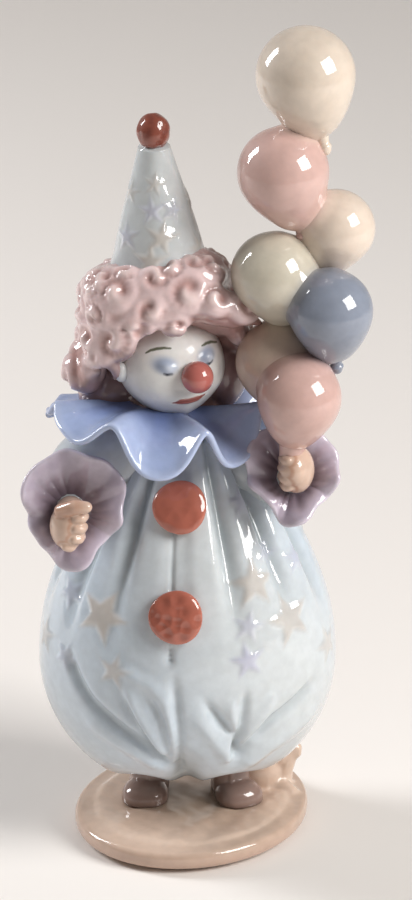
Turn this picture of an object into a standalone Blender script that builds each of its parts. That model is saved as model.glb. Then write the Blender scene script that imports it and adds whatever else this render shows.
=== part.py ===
# A glazed porcelain clown with a pointed hat, a ruffled collar and a balloon-shaped suit,
# who holds a column of seven balloons and stands on an oval base.
#
# The figurine is cast, its loose forms are luted on while damp, and the whole is glazed and
# fired as one, so every form here ends in one closed solid, joined by Boolean unions.
#
# Lengths are in metres, Z is up, and the origin is the middle of the base's underside.
# The base has real sizes of its own. The figure is a free form: its places and sizes are
# shares of its height, written in figure units of which FIGURE_UNITS make up that height,
# and measured from the middle of the base's top.

import math

import bmesh
import bpy
from mathutils import Matrix, Vector

MM = 0.001

# The base: an oval disc with a rounded rim and a slightly raised middle.
BASE_LENGTH = 52.8 * MM
BASE_WIDTH = 46.0 * MM
BASE_RIM_HEIGHT = 4.4 * MM
BASE_STEP_HEIGHT = 0.6 * MM
BASE_STEP_INSET = 4.2 * MM
BASE_FOOT_ROUND = 0.8 * MM
BASE_TURN = math.radians(62)
BASE_HEIGHT = BASE_RIM_HEIGHT + BASE_STEP_HEIGHT

# The figure, from the base's top to the top of the highest balloon.
FIGURE_HEIGHT = 165.0 * MM
FIGURE_UNITS = 164.0
UNIT = FIGURE_HEIGHT / FIGURE_UNITS

# Everything below is in figure units and degrees.
SUIT_MIDDLE = Vector((-0.8, 0.0, 32.5))
SUIT_HALF_WIDTH = 29.8
SUIT_HALF_DEPTH = 26.5
SUIT_DROP = 29.0
SUIT_RISE = 50.0
SUIT_NECK_SHARE = 0.30
SUIT_FRONT = -94.5
PLEATS = 14
PLEAT_DEPTH = 1.5
LEG_FOLDS = 6
LEG_FOLD_DEPTH = 2.4
LEG_SPLIT_DEPTH = 3.2
LEG_SPLIT_WIDTH = 2.6
SHOE_TUCK_DEPTH = 2.6
SHOE_TUCK_RADIUS = 4.5
ANKLE_OUT = 9.6
ANKLE_FORWARD = 8.0
ANKLE_HEIGHT = 9.5

NECK_POINTS = ((0.0, 0.0, 76.0), (-3.0, -1.0, 85.0), (-6.0, -2.0, 94.0))
NECK_RADII = (9.5, 8.0, 8.0)
NAPE_MIDDLE = Vector((-5.0, 3.5, 82.0))
NAPE_HALF = Vector((12.5, 11.5, 8.5))

COLLAR_MIDDLE = Vector((-6.0, -1.5, 86.6))
COLLAR_INNER = 6.5
COLLAR_RADIUS = 21.4
COLLAR_LOBES = 8
COLLAR_WAVE = 3.4
COLLAR_SAG = 4.0
COLLAR_TILT = 6.2
COLLAR_HIGH_SIDE = -160.0
COLLAR_FIRST_LOBE = -87.0
COLLAR_THICKNESS = 1.5

# Each sleeve: its name, the points it runs through and its radius at each.
SLEEVES = (
    ("left", ((-10, 0, 75), (-17, -1, 75), (-21.8, -3.5, 73.6), (-23.8, -9, 71.5), (-23.6, -17, 68.4)),
     (8.5, 7.6, 6.6, 5.2, 2.7)),
    ("right", ((2, 0, 74), (9, -1, 73.5), (14.5, -3.5, 72.5), (18.2, -8.5, 73), (19.6, -13, 75.5)),
     (8.5, 7.4, 6.4, 5.2, 3.6)),
)

# Each cuff: its middle, the way its funnel opens, and the rim's reach at eight bearings,
# counted from the wearer's side round over the top.
CUFFS = (
    ("left", Vector((-23.4, -14.2, 68.3)), Vector((0.05, -0.96, 0.12)),
     (9.4, 12.4, 13.0, 11.8, 8.0, 7.6, 10.6, 7.7), 3.0),
    ("right", Vector((19.8, -12.6, 74.8)), Vector((0.0, -0.86, 0.5)),
     (8.6, 9.6, 10.0, 10.4, 8.4, 6.6, 9.4, 7.0), 3.2),
)
CUFF_INNER = 2.6
CUFF_WAVE = 1.0
CUFF_WAVES = 5
CUFF_THICKNESS = 1.4

# Each hand: its middle, half sizes, the side its curled fingers are on, and their creases.
HANDS = (
    ("right", Vector((20.0, -16.6, 78.6)), Vector((3.7, 4.4, 4.8)), -1),
    ("left", Vector((-24.0, -20.4, 68.2)), Vector((3.6, 4.6, 5.1)), 1),
)
FINGER_CREASES = 2
FINGER_CREASE_DEPTH = 0.11
THUMB_POINTS = ((-23.8, -22.2, 71.2), (-22.0, -23.4, 71.9), (-20.2, -23.6, 71.7))
THUMB_RADII = (1.6, 1.6, 1.2)

HEAD_MIDDLE = Vector((-3.9, -3.0, 95.8))
HEAD_RADIUS = 10.3
HEAD_YAW = 27.0
HEAD_PITCH = 3.0
HEAD_ROLL = 5.0
NOSE_PLACE = Vector((0.0, -11.5, 1.2))
NOSE_RADIUS = 3.0
EAR_PLACE = Vector((10.2, 0.4, -1.4))
EAR_HALF = Vector((1.0, 1.7, 2.3))

HAIR_MIDDLE = Vector((-5.3, 1.0, 101.6))
HAIR_HALF = Vector((18.6, 16.5, 14.0))
HAIR_ROLL = 4.5
HAIR_BOXINESS = 2.6
HAIR_OPENING_BEARING = -73.0
HAIR_OPENING_DROP = -30.0
HAIR_OPENING_ANGLE = 47.0
HAIR_OPENING_WIDENS = 0.9
HAIR_OPENING_DEPTH = 0.62
HAIR_CURLS = 46
CURL_RADIUS = 4.6
CURL_DEPTH = 2.4

HAT_FOOT = Vector((-6.0, 0.6, 111.0))
HAT_TIP = Vector((-7.1, -0.2, 139.0))
HAT_FOOT_RADIUS = 11.0
HAT_TIP_RADIUS = 3.1
POMPOM_RISE = 3.0
POMPOM_HALF = Vector((3.25, 3.25, 3.6))

BUTTON_RADIUS = 5.3
BUTTON_HALF_THICKNESS = 1.7
BUTTON_RISE = 0.9
BUTTON_HEIGHTS = (69.8, 50.3)

# Each balloon: its name, middle, radius and where its knot points.
BALLOONS = (
    ("top", Vector((21.9, -4.0, 154.4)), 9.6, Vector((3.5, -1.5, -13.0))),
    ("second", Vector((17.7, -6.0, 135.6)), 8.9, Vector((3.6, -1.0, -11.6))),
    ("back", Vector((28.0, -4.0, 123.6)), 7.6, Vector((-3.0, 1.0, -10.0))),
    ("inner", Vector((15.9, -8.0, 115.6)), 8.3, Vector((3.0, 1.5, -10.5))),
    ("outer", Vector((26.9, -13.0, 109.8)), 8.2, Vector((1.2, 1.0, -11.0))),
    ("hidden", Vector((17.0, -7.0, 97.2)), 8.4, Vector((2.5, -2.0, -10.0))),
    ("lowest", Vector((20.9, -16.0, 93.2)), 8.2, Vector((-1.4, -0.6, -10.5))),
)
BALLOON_STRETCH = 0.30
BALLOON_WAIST = 0.08
LUTED_PAIRS = (("top", "second"), ("second", "back"), ("second", "inner"), ("inner", "hidden"))
LUTE_RADIUS = 2.6
BALLOON_KNOT_RADIUS = 1.5
STEM_RADII = (3.4, 2.4, 2.2)

SHOE_PLACES = ((-9.7, 1.2, 4.0), (9.6, 1.0, -4.0))
SHOE_HALF = Vector((5.0, 7.4, 4.4))
SHAFT_RADIUS = 4.2
SHAFT_HEIGHT = 9.0

STUMP_POINTS = ((14.5, 12.5, -1.0), (15.2, 10.5, 3.0), (16.2, 9.0, 6.5), (16.2, 7.5, 9.5))
STUMP_RADII = (7.2, 5.0, 4.3, 4.4)
STUMP_KNOBS = ((20.8, 7.0, 8.9, 2.6), (19.2, 5.2, 4.8, 3.4))


# Small helpers: places, materials, and how a form is made and finished.

def world(point):
    """The place in metres of a point given in figure units above the base's top."""
    return Vector((point[0] * UNIT, point[1] * UNIT, BASE_HEIGHT + point[2] * UNIT))


def smooth_step(low, high, value):
    share = min(max((value - low) / (high - low), 0.0), 1.0)
    return share * share * (3 - 2 * share)


def turned_frame(yaw, pitch, roll):
    """A head looks along -Y at rest, and turns by yaw, then nods by pitch and leans by roll."""
    return (Matrix.Rotation(math.radians(yaw), 3, "Z")
            @ Matrix.Rotation(math.radians(pitch), 3, "X")
            @ Matrix.Rotation(math.radians(-roll), 3, "Y"))


def frame_along(axis, up):
    """Columns are sideways, up and along the axis."""
    along = Vector(axis).normalized()
    side = Vector(up).cross(along).normalized()
    top = along.cross(side)
    return Matrix((side, top, along)).transposed()


def glaze(name, colour, roughness=0.12):
    material = bpy.data.materials.new(name)
    material.use_nodes = True
    shader = material.node_tree.nodes["Principled BSDF"]
    shader.inputs["Base Color"].default_value = (*colour, 1.0)
    shader.inputs["Roughness"].default_value = roughness
    shader.inputs["Metallic"].default_value = 0.0
    return material


def keep(name, mesh, material):
    mesh.materials.clear()
    mesh.materials.append(material)
    piece = bpy.data.objects.new(name, mesh)
    FORMS.objects.link(piece)
    return piece


def ball(name, segments, rings, shape, material):
    """A sphere primitive whose points are moved by a rule: shape(direction) in figure units."""
    grid = bmesh.new()
    bmesh.ops.create_uvsphere(grid, u_segments=segments, v_segments=rings, radius=1.0)
    for point in grid.verts:
        point.co = world(shape(point.co.normalized()))
    bmesh.ops.recalc_face_normals(grid, faces=grid.faces)
    mesh = bpy.data.meshes.new(name)
    grid.to_mesh(mesh)
    grid.free()
    return keep(name, mesh, material)


def ellipsoid(name, middle, half, segments, rings, material, turn=None):
    turn = turn or Matrix.Identity(3)

    def shape(d):
        return middle + turn @ Vector((d.x * half[0], d.y * half[1], d.z * half[2]))
    return ball(name, segments, rings, shape, material)


def ruffle(name, columns, rows, shape, thickness, material):
    """A grid rolled into a ring, shaped by shape(share, angle), and given a wall."""
    grid = bmesh.new()
    bmesh.ops.create_grid(grid, x_segments=columns, y_segments=rows, size=1.0)
    for point in grid.verts:
        angle = math.pi * (point.co.x + 1)
        share = (point.co.y + 1) / 2
        point.co = world(shape(share, angle))
    bmesh.ops.remove_doubles(grid, verts=grid.verts, dist=0.01 * MM)
    bmesh.ops.recalc_face_normals(grid, faces=grid.faces)
    mesh = bpy.data.meshes.new(name)
    grid.to_mesh(mesh)
    grid.free()
    piece = keep(name, mesh, material)
    wall = piece.modifiers.new("wall", "SOLIDIFY")
    wall.thickness = thickness * UNIT
    wall.offset = 0.0
    return piece


def tube(name, points, radii, bevel_resolution, material):
    """A bevelled curve through points, with its own radius at each, made a closed mesh."""
    line = bpy.data.curves.new(name, "CURVE")
    line.dimensions = "3D"
    line.bevel_depth = UNIT
    line.bevel_resolution = bevel_resolution
    line.use_fill_caps = True
    spline = line.splines.new("POLY")
    spline.points.add(len(points) - 1)
    for spot, point, radius in zip(spline.points, points, radii):
        spot.co = (*world(point), 1.0)
        spot.radius = radius
    guide = bpy.data.objects.new(name + "_curve", line)
    FORMS.objects.link(guide)
    bpy.context.view_layer.update()
    graph = bpy.context.evaluated_depsgraph_get()
    mesh = bpy.data.meshes.new_from_object(guide.evaluated_get(graph))
    bpy.data.objects.remove(guide)
    grid = bmesh.new()
    grid.from_mesh(mesh)
    bmesh.ops.remove_doubles(grid, verts=grid.verts, dist=0.01 * MM)
    bmesh.ops.recalc_face_normals(grid, faces=grid.faces)
    grid.to_mesh(mesh)
    grid.free()
    return keep(name, mesh, material)


def turned(name, profile, steps, material):
    """A profile of (radius, height) in metres at +X, top to bottom, turned by a Screw."""
    mesh = bpy.data.meshes.new(name)
    points = [(radius, 0.0, height) for radius, height in profile]
    mesh.from_pydata(points, [(i, i + 1) for i in range(len(points) - 1)], [])
    piece = keep(name, mesh, material)
    screw = piece.modifiers.new("turn", "SCREW")
    screw.steps = steps
    screw.render_steps = steps
    screw.use_merge_vertices = True
    screw.merge_threshold = 0.00001
    return piece


def joined(piece, others):
    """One Boolean union of all the other forms with the first one."""
    luted = bpy.data.collections.new("luted_forms")
    bpy.context.scene.collection.children.link(luted)
    for other in others:
        luted.objects.link(other)
    union = piece.modifiers.new("union", "BOOLEAN")
    union.operation = "UNION"
    union.operand_type = "COLLECTION"
    union.collection = luted
    union.solver = "EXACT"
    union.material_mode = "TRANSFER"
    bpy.context.view_layer.update()
    graph = bpy.context.evaluated_depsgraph_get()
    mesh = bpy.data.meshes.new_from_object(piece.evaluated_get(graph))
    for form in (piece, *others):
        bpy.data.objects.remove(form)
    bpy.data.collections.remove(luted)
    return mesh


# The base: its profile is turned, drawn out to an oval and turned in plan.

def base_profile():
    radius = BASE_LENGTH / 2
    inset = radius - BASE_STEP_INSET
    profile = [(0.0, BASE_HEIGHT), (inset - 0.8 * MM, BASE_HEIGHT)]
    profile.append((inset, BASE_HEIGHT - BASE_STEP_HEIGHT))
    round_radius = (BASE_RIM_HEIGHT - BASE_FOOT_ROUND) / 2
    middle_height = BASE_FOOT_ROUND + round_radius
    for step in range(5):
        angle = math.radians(90 - 45 * step)
        out = radius - round_radius * (1 - math.cos(angle))
        profile.append((out, middle_height + round_radius * math.sin(angle)))
    profile.append((radius - round_radius - BASE_FOOT_ROUND, 0.0))
    profile.append((0.0, 0.0))
    return profile


def make_base():
    base = turned("base", base_profile(), 28, GLAZES["base"])
    bpy.context.view_layer.update()
    graph = bpy.context.evaluated_depsgraph_get()
    mesh = bpy.data.meshes.new_from_object(base.evaluated_get(graph))
    bpy.data.objects.remove(base)
    oval = Matrix.Diagonal((1.0, BASE_WIDTH / BASE_LENGTH, 1.0, 1.0))
    mesh.transform(Matrix.Rotation(BASE_TURN, 4, "Z") @ oval)
    return keep("base", mesh, GLAZES["base"])


# The suit: a ball below, a bell above, with pleats from the neck and folds to the ankles.

def suit_point(d):
    angle = math.atan2(d.y, d.x)
    level = d.z
    if level < 0:
        share = math.sqrt(max(1 - level * level, 0.0))
        height = SUIT_DROP * level
    else:
        latitude = math.asin(min(level, 1.0))
        share = SUIT_NECK_SHARE + (1 - SUIT_NECK_SHARE) * math.cos(latitude)
        height = SUIT_RISE * latitude / (math.pi / 2)
        if level > 0.9999:
            share = 0.0
    point = Vector((math.cos(angle) * SUIT_HALF_WIDTH * share,
                    math.sin(angle) * SUIT_HALF_DEPTH * share, height))
    outward = Vector((point.x, point.y, point.z * 0.8)).normalized()
    depth = pleat_depth(angle, height) + split_depth(point) + leg_fold_depth(point)
    return SUIT_MIDDLE + point - outward * depth


def pleat_depth(angle, height):
    wave = 0.5 + 0.5 * math.cos(PLEATS * (angle - math.radians(SUIT_FRONT)))
    strength = smooth_step(8, 34, height) * (1 - 0.5 * smooth_step(42, 50, height))
    return PLEAT_DEPTH * strength * wave ** 1.5


def split_depth(point):
    """The groove between the two trouser legs, under the figure and up its front and back."""
    across = math.exp(-(point.x / LEG_SPLIT_WIDTH) ** 2)
    return LEG_SPLIT_DEPTH * across * (1 - smooth_step(-27, -4, point.z))


def leg_fold_depth(point):
    """Folds that fan out upwards from each ankle, and the tuck over each shoe."""
    depth = 0.0
    for side in (-1, 1):
        ankle = Vector((side * ANKLE_OUT, -ANKLE_FORWARD, ANKLE_HEIGHT - SUIT_MIDDLE.z))
        reach = point - ankle
        fan = math.atan2(reach.x * side, reach.z + 4)
        distance = reach.length
        own_side = smooth_step(-3, 3, point.x * side)
        front = smooth_step(12, -4, point.y)
        wave = 0.5 + 0.5 * math.cos(LEG_FOLDS * fan + 0.8)
        band = smooth_step(4, 11, distance) * (1 - smooth_step(18, 36, distance))
        depth += LEG_FOLD_DEPTH * own_side * front * band * wave
        depth += SHOE_TUCK_DEPTH * math.exp(-(distance / SHOE_TUCK_RADIUS) ** 2)
    return depth


def make_suit():
    suit = ball("suit", 4 * PLEATS, 14, suit_point, GLAZES["suit"])
    nape = ellipsoid("nape", NAPE_MIDDLE, NAPE_HALF, 12, 6, GLAZES["hair"])
    return [suit, tube("neck", NECK_POINTS, NECK_RADII, 2, GLAZES["suit"]), nape]


# The collar: a ruffle of lobes round the neck.

def collar_point(share, angle):
    angle += math.radians(COLLAR_FIRST_LOBE)
    radius = COLLAR_INNER + (COLLAR_RADIUS - COLLAR_INNER) * share
    turn = COLLAR_LOBES * (angle - math.radians(COLLAR_FIRST_LOBE))
    wave = math.cos(turn) - 0.2 * math.cos(2 * turn)
    lift = -COLLAR_WAVE * wave * share ** 1.2 - COLLAR_SAG * (share * math.sin(angle)) ** 2
    flat = Vector((radius * math.cos(angle), radius * math.sin(angle), lift))
    high_side = math.radians(COLLAR_HIGH_SIDE)
    hinge = Vector((math.sin(high_side), -math.cos(high_side), 0.0))
    return COLLAR_MIDDLE + Matrix.Rotation(math.radians(COLLAR_TILT), 3, hinge) @ flat


def make_collar():
    columns = 7 * COLLAR_LOBES
    return [ruffle("collar", columns, 2, collar_point, COLLAR_THICKNESS, GLAZES["collar"])]


# The sleeves, cuffs and hands.
def ring_value(values, angle):
    """A smooth value round a ring, read between evenly spaced ones."""
    place = (angle / (2 * math.pi) * len(values)) % len(values)
    first = int(place) % len(values)
    share = smooth_step(0, 1, place - int(place))
    return values[first] * (1 - share) + values[(first + 1) % len(values)] * share


def make_cuff(name, middle, axis, reaches, funnel):
    frame = frame_along(axis, (0, 0, 1))

    def shape(share, angle):
        reach = ring_value(reaches, angle)
        radius = CUFF_INNER + (reach - CUFF_INNER) * share
        wave = CUFF_WAVE * math.cos(CUFF_WAVES * angle) * share ** 2
        forward = funnel * math.sin(share * math.pi / 2) + wave
        return middle + frame @ Vector((radius * math.cos(angle), radius * math.sin(angle), forward))
    return ruffle("cuff_" + name, 4 * CUFF_WAVES, 2, shape, CUFF_THICKNESS, GLAZES["cuff"])


def make_hands():
    """Two closed fists, with creases between the fingers on one side of each."""
    forms = []
    for name, middle, half, finger_side in HANDS:

        def shape(d, middle=middle, half=half, finger_side=finger_side):
            crease = 0.5 + 0.5 * math.cos(FINGER_CREASES * math.pi * (d.z + 1))
            on_fingers = smooth_step(-0.1, 0.8, finger_side * d.x)
            push = 1 - FINGER_CREASE_DEPTH * on_fingers * crease
            return middle + Vector((d.x * half.x, d.y * half.y, d.z * half.z)) * push
        forms.append(ball("hand_" + name, 10, 8, shape, GLAZES["skin"]))
    forms.append(tube("thumb", THUMB_POINTS, THUMB_RADII, 1, GLAZES["skin"]))
    return forms


def make_arms():
    arms = [tube("sleeve_" + name, points, radii, 2, GLAZES["suit"])
            for name, points, radii in SLEEVES]
    return arms + [make_cuff(*cuff) for cuff in CUFFS] + make_hands()


# The head, its ball nose, the hair with its curls, the hat and the pompom.

def make_head():
    frame = turned_frame(HEAD_YAW, HEAD_PITCH, HEAD_ROLL)

    def skull(d):
        cheek = 0.05 * math.exp(-((d.z + 0.35) / 0.3) ** 2) * abs(d.x)
        jaw = 0.05 * smooth_step(-0.5, -1.0, d.z)
        socket = sum(0.035 * math.exp(-((d.x - side * 0.38) ** 2 + (d.z - 0.05) ** 2) / 0.02)
                     for side in (-1, 1)) * smooth_step(0, -0.6, d.y)
        return HEAD_MIDDLE + frame @ (d * HEAD_RADIUS * (1 + cheek - jaw - socket))
    forms = [ball("head", 18, 12, skull, GLAZES["face"])]
    nose = HEAD_MIDDLE + frame @ NOSE_PLACE
    forms.append(ellipsoid("nose", nose, (NOSE_RADIUS,) * 3, 12, 8, GLAZES["nose"]))
    for side in (-1, 1):
        ear = HEAD_MIDDLE + frame @ Vector((side * EAR_PLACE.x, EAR_PLACE.y, EAR_PLACE.z))
        forms.append(ellipsoid("ear", ear, EAR_HALF, 8, 6, GLAZES["face"], frame))
    return forms


def curl_directions():
    """Evenly spread directions, on a spiral round the head of hair."""
    turn = math.pi * (3 - math.sqrt(5))
    spots = []
    for index in range(HAIR_CURLS):
        height = 1 - 2 * (index + 0.5) / HAIR_CURLS
        ring = math.sqrt(1 - height * height)
        spots.append(Vector((ring * math.cos(turn * index), ring * math.sin(turn * index), height)))
    return spots


def hair_shape():
    roll = Matrix.Rotation(math.radians(-HAIR_ROLL), 3, "Y")
    bearing = math.radians(HAIR_OPENING_BEARING)
    drop = math.radians(HAIR_OPENING_DROP)
    face = Vector((math.cos(bearing) * math.cos(drop), math.sin(bearing) * math.cos(drop),
                   math.sin(drop)))
    curls = curl_directions()

    def shape(d):
        total = sum(abs(d[axis] / HAIR_HALF[axis]) ** HAIR_BOXINESS for axis in range(3))
        point = d * total ** (-1 / HAIR_BOXINESS)
        nearest = min((d - curl).length for curl in curls) * 0.5 * (HAIR_HALF.x + HAIR_HALF.z)
        knob = max(1 - (nearest / CURL_RADIUS) ** 2, 0.0)
        point = point * (1 + (CURL_DEPTH * (knob - 0.5)) / point.length)
        turned_point = roll @ point
        below = max(-math.degrees(math.asin(turned_point.normalized().z)), 0.0)
        opening = math.degrees(turned_point.angle(face)) - HAIR_OPENING_ANGLE
        opening -= HAIR_OPENING_WIDENS * below
        inside = smooth_step(5, -5, opening)
        return HAIR_MIDDLE + turned_point * (1 - HAIR_OPENING_DEPTH * inside)
    return shape


def make_hair():
    rule = hair_shape()
    grid = bmesh.new()
    bmesh.ops.create_icosphere(grid, subdivisions=4, radius=1.0)
    for point in grid.verts:
        point.co = world(rule(point.co.normalized()))
    mesh = bpy.data.meshes.new("hair")
    grid.to_mesh(mesh)
    grid.free()
    return [keep("hair", mesh, GLAZES["hair"])]


def make_hat():
    points = [HAT_FOOT.lerp(HAT_TIP, step / 4) for step in range(5)]
    radii = [HAT_FOOT_RADIUS + (HAT_TIP_RADIUS - HAT_FOOT_RADIUS) * step / 4 for step in range(5)]
    axis = (HAT_TIP - HAT_FOOT).normalized()
    pompom = HAT_TIP + axis * POMPOM_RISE
    return [tube("hat", points, radii, 6, GLAZES["suit"]),
            ellipsoid("pompom", pompom, POMPOM_HALF, 11, 8, GLAZES["button"])]


# The buttons, the balloons, the shoes and the stump.

def make_buttons():
    """Thick round discs that lie on the suit's front."""
    buttons = []
    front = math.radians(SUIT_FRONT)
    for height in BUTTON_HEIGHTS:
        latitude = (height - SUIT_MIDDLE.z) / SUIT_RISE * math.pi / 2
        spot = suit_point(Vector((math.cos(front) * math.cos(latitude),
                                  math.sin(front) * math.cos(latitude), math.sin(latitude))))
        slope = SUIT_HALF_DEPTH * (1 - SUIT_NECK_SHARE) * math.sin(latitude)
        slope /= SUIT_RISE / (math.pi / 2)
        out = Vector((math.cos(front), math.sin(front), slope)).normalized()
        frame = frame_along(out, (0, 0, 1))
        half = (BUTTON_RADIUS, BUTTON_RADIUS, BUTTON_HALF_THICKNESS)
        buttons.append(ellipsoid("button", spot + out * BUTTON_RISE, half, 14, 6, GLAZES["button"], frame))
    return buttons


def make_balloons():
    forms = []
    for name, middle, radius, knot in BALLOONS:
        frame = frame_along(-knot, (0, 1, 0))

        def shape(d, middle=middle, radius=radius, frame=frame):
            low = max(-d.z, 0.0)
            length = d.z * (1 + BALLOON_STRETCH * low ** 2)
            waist = 1 - BALLOON_WAIST * low ** 2
            return middle + frame @ Vector((d.x * waist, d.y * waist, length)) * radius
        glaze_name = "balloon_" + name
        forms.append(ball(glaze_name, 13, 9, shape, GLAZES[glaze_name]))
        if name != "lowest":
            neck = [middle + knot * share for share in (0.6, 0.94, 1.0, 1.1)]
            radii = [BALLOON_KNOT_RADIUS * share for share in (2.4, 0.8, 1.0, 0.6)]
            forms.append(tube("knot_" + name, neck, radii, 0, GLAZES[glaze_name]))
    middles = {name: middle for name, middle, radius, knot in BALLOONS}
    for upper, lower in LUTED_PAIRS:
        spot = middles[upper].lerp(middles[lower], 0.53)
        size = (LUTE_RADIUS,) * 3
        forms.append(ellipsoid("lute", spot, size, 7, 4, GLAZES["balloon_" + lower]))
    middle, radius, knot = BALLOONS[-1][1:]
    stem = [middle + knot * share for share in (0.6, 0.95, 1.3)]
    forms.append(tube("stem", stem, STEM_RADII, 2, GLAZES["balloon_lowest"]))
    return forms


def make_shoes():
    forms = []
    for out, back, turn in SHOE_PLACES:
        frame = Matrix.Rotation(math.radians(turn), 3, "Z")

        def shape(d, out=out, back=back, frame=frame):
            toe = smooth_step(0.2, -0.6, d.y)
            height = SHOE_HALF.z * (1 + 0.2 * toe)
            up = max(d.z, -0.12) * height
            width = SHOE_HALF.x * (0.92 + 0.1 * toe)
            flat = Vector((d.x * width, d.y * SHOE_HALF.y, up))
            return Vector((out, back, 0.3)) + frame @ flat
        forms.append(ball("shoe", 11, 7, shape, GLAZES["shoe"]))
        shaft = [(out, back + 1.0, 0.5), (out, back + 0.6, SHAFT_HEIGHT)]
        forms.append(tube("shaft", shaft, (SHAFT_RADIUS, SHAFT_RADIUS), 2, GLAZES["shoe"]))
    return forms


def make_stump():
    forms = [tube("stump", STUMP_POINTS, STUMP_RADII, 2, GLAZES["base"])]
    for x, y, z, radius in STUMP_KNOBS:
        size = (radius,) * 3
        forms.append(ellipsoid("knob", Vector((x, y, z)), size, 8, 6, GLAZES["base"]))
    return forms


def clear_scene():
    for thing in list(bpy.data.objects):
        bpy.data.objects.remove(thing)


clear_scene()
FORMS = bpy.data.collections.new("clown_figurine")
bpy.context.scene.collection.children.link(FORMS)

GLAZES = {
    "base": glaze("base_glaze", (0.75, 0.57, 0.45)),
    "suit": glaze("suit_glaze", (0.56, 0.65, 0.69)),
    "collar": glaze("collar_glaze", (0.36, 0.45, 0.74)),
    "cuff": glaze("cuff_glaze", (0.45, 0.40, 0.50)),
    "skin": glaze("skin_glaze", (0.78, 0.58, 0.42)),
    "face": glaze("face_glaze", (0.74, 0.75, 0.75)),
    "nose": glaze("nose_glaze", (0.50, 0.09, 0.06)),
    "hair": glaze("hair_glaze", (0.62, 0.36, 0.36)),
    "button": glaze("button_glaze", (0.33, 0.08, 0.05)),
    "shoe": glaze("shoe_glaze", (0.17, 0.12, 0.11)),
    "balloon_top": glaze("balloon_top_glaze", (0.80, 0.72, 0.58)),
    "balloon_second": glaze("balloon_second_glaze", (0.68, 0.42, 0.40)),
    "balloon_back": glaze("balloon_back_glaze", (0.78, 0.68, 0.55)),
    "balloon_inner": glaze("balloon_inner_glaze", (0.65, 0.61, 0.50)),
    "balloon_outer": glaze("balloon_outer_glaze", (0.27, 0.31, 0.42)),
    "balloon_hidden": glaze("balloon_hidden_glaze", (0.62, 0.50, 0.42)),
    "balloon_lowest": glaze("balloon_lowest_glaze", (0.68, 0.42, 0.36)),
}

base_form = make_base()
other_forms = (make_suit() + make_collar() + make_arms() + make_head() + make_hair() + make_hat()
               + make_buttons() + make_balloons() + make_shoes() + make_stump())
solid = joined(base_form, other_forms)
solid.name = "clown_figurine"
solid.shade_smooth()
solid.set_sharp_from_angle(angle=math.radians(50))
clown = bpy.data.objects.new("clown_figurine", solid)
FORMS.objects.link(clown)
print("triangles", sum(len(face.vertices) - 2 for face in solid.polygons))
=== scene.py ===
# %% [markdown]
# # A glazed porcelain clown with a column of balloons
#
# The figurine is slip-cast porcelain, about 17 cm tall, painted under the glaze with soft
# airbrushed colours, dipped in clear glaze and fired. This lesson dresses its plain solid.
# The solid keeps the true size and place of every form, so each piece below is shaped in the
# same figure units as the solid, lies on the same forms, and only adds the finer relief.
#
# In the names of pieces, left and right are the viewer's. The ears alone are named for the
# clown's own sides.

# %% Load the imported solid
import math

import bpy
import numpy as np
from mathutils import Matrix, Vector


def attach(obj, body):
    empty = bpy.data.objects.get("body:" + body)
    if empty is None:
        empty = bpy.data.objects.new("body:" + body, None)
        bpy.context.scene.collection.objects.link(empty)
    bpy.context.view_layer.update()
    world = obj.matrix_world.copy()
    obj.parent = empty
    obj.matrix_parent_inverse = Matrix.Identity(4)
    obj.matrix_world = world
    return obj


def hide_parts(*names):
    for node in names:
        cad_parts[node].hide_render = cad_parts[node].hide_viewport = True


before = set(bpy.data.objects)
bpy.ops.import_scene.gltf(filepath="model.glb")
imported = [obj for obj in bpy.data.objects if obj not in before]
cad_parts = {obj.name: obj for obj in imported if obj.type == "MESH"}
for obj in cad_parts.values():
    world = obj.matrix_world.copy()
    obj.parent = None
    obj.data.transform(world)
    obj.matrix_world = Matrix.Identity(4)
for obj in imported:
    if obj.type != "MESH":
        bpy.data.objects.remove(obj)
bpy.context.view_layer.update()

# %% [markdown]
# ## Units
#
# The base has real sizes. The figure on it is a free form, measured in shares of its height:
# 164 figure units make its 165 mm, and heights count from the base's top. A maker who
# changes FIGURE_HEIGHT gets the same clown at another size.

# %% Units
MM = 0.001
BASE_HEIGHT = 5.0 * MM
FIGURE_HEIGHT = 165.0 * MM
FIGURE_UNITS = 164.0
UNIT = FIGURE_HEIGHT / FIGURE_UNITS


def to_metres(points):
    """Figure units above the base's top become metres in the frame."""
    placed = np.array(points, float) * UNIT
    placed[:, 2] += BASE_HEIGHT
    return placed


def ease(low, high, value):
    """0 below low, 1 above high, and a smooth S between them."""
    share = np.clip((value - low) / (high - low), 0.0, 1.0)
    return share * share * (3 - 2 * share)


def mound(distance, radius):
    """A soft round swelling: 1 at its middle, near 0 from twice the radius."""
    return np.exp(-(distance / radius) ** 2)


def unit_rows(vectors):
    """Each row made one long."""
    return vectors / np.maximum(np.linalg.norm(vectors, axis=-1, keepdims=True), 1e-9)


def turned(degrees, axis):
    """The 3 x 3 matrix of a turn about X, Y or Z."""
    return np.array(Matrix.Rotation(math.radians(degrees), 3, axis))


def degrees_from(bearings, middle):
    """Bearings in degrees as their signed distance from a middle one, -180 to 180."""
    return (bearings - middle + 180) % 360 - 180


def along_stops(stops, steps_each):
    """Close points on the straight runs between stops, with as many columns as the stops have."""
    stops = np.array(stops, float)
    shares = np.linspace(0, len(stops) - 1, steps_each * (len(stops) - 1) + 1)
    return np.stack([np.interp(shares, np.arange(len(stops)), column) for column in stops.T], -1)


print("one figure unit is", round(1000 * UNIT, 4), "mm")

# %% [markdown]
# ## Colours under the glaze
#
# The painter sprays thin colours on the fired clay, so edges are soft and one colour fades
# into the next. A colour attribute holds that paint point by point, because it can follow a
# star, an eyelid or a hollow exactly. It is worked out from the same rules as the relief. The
# same attribute also carries painted shade in hollows, creases and undersides, and painted
# highlights on rims, lids and tops.

# %% Paint helpers


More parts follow.
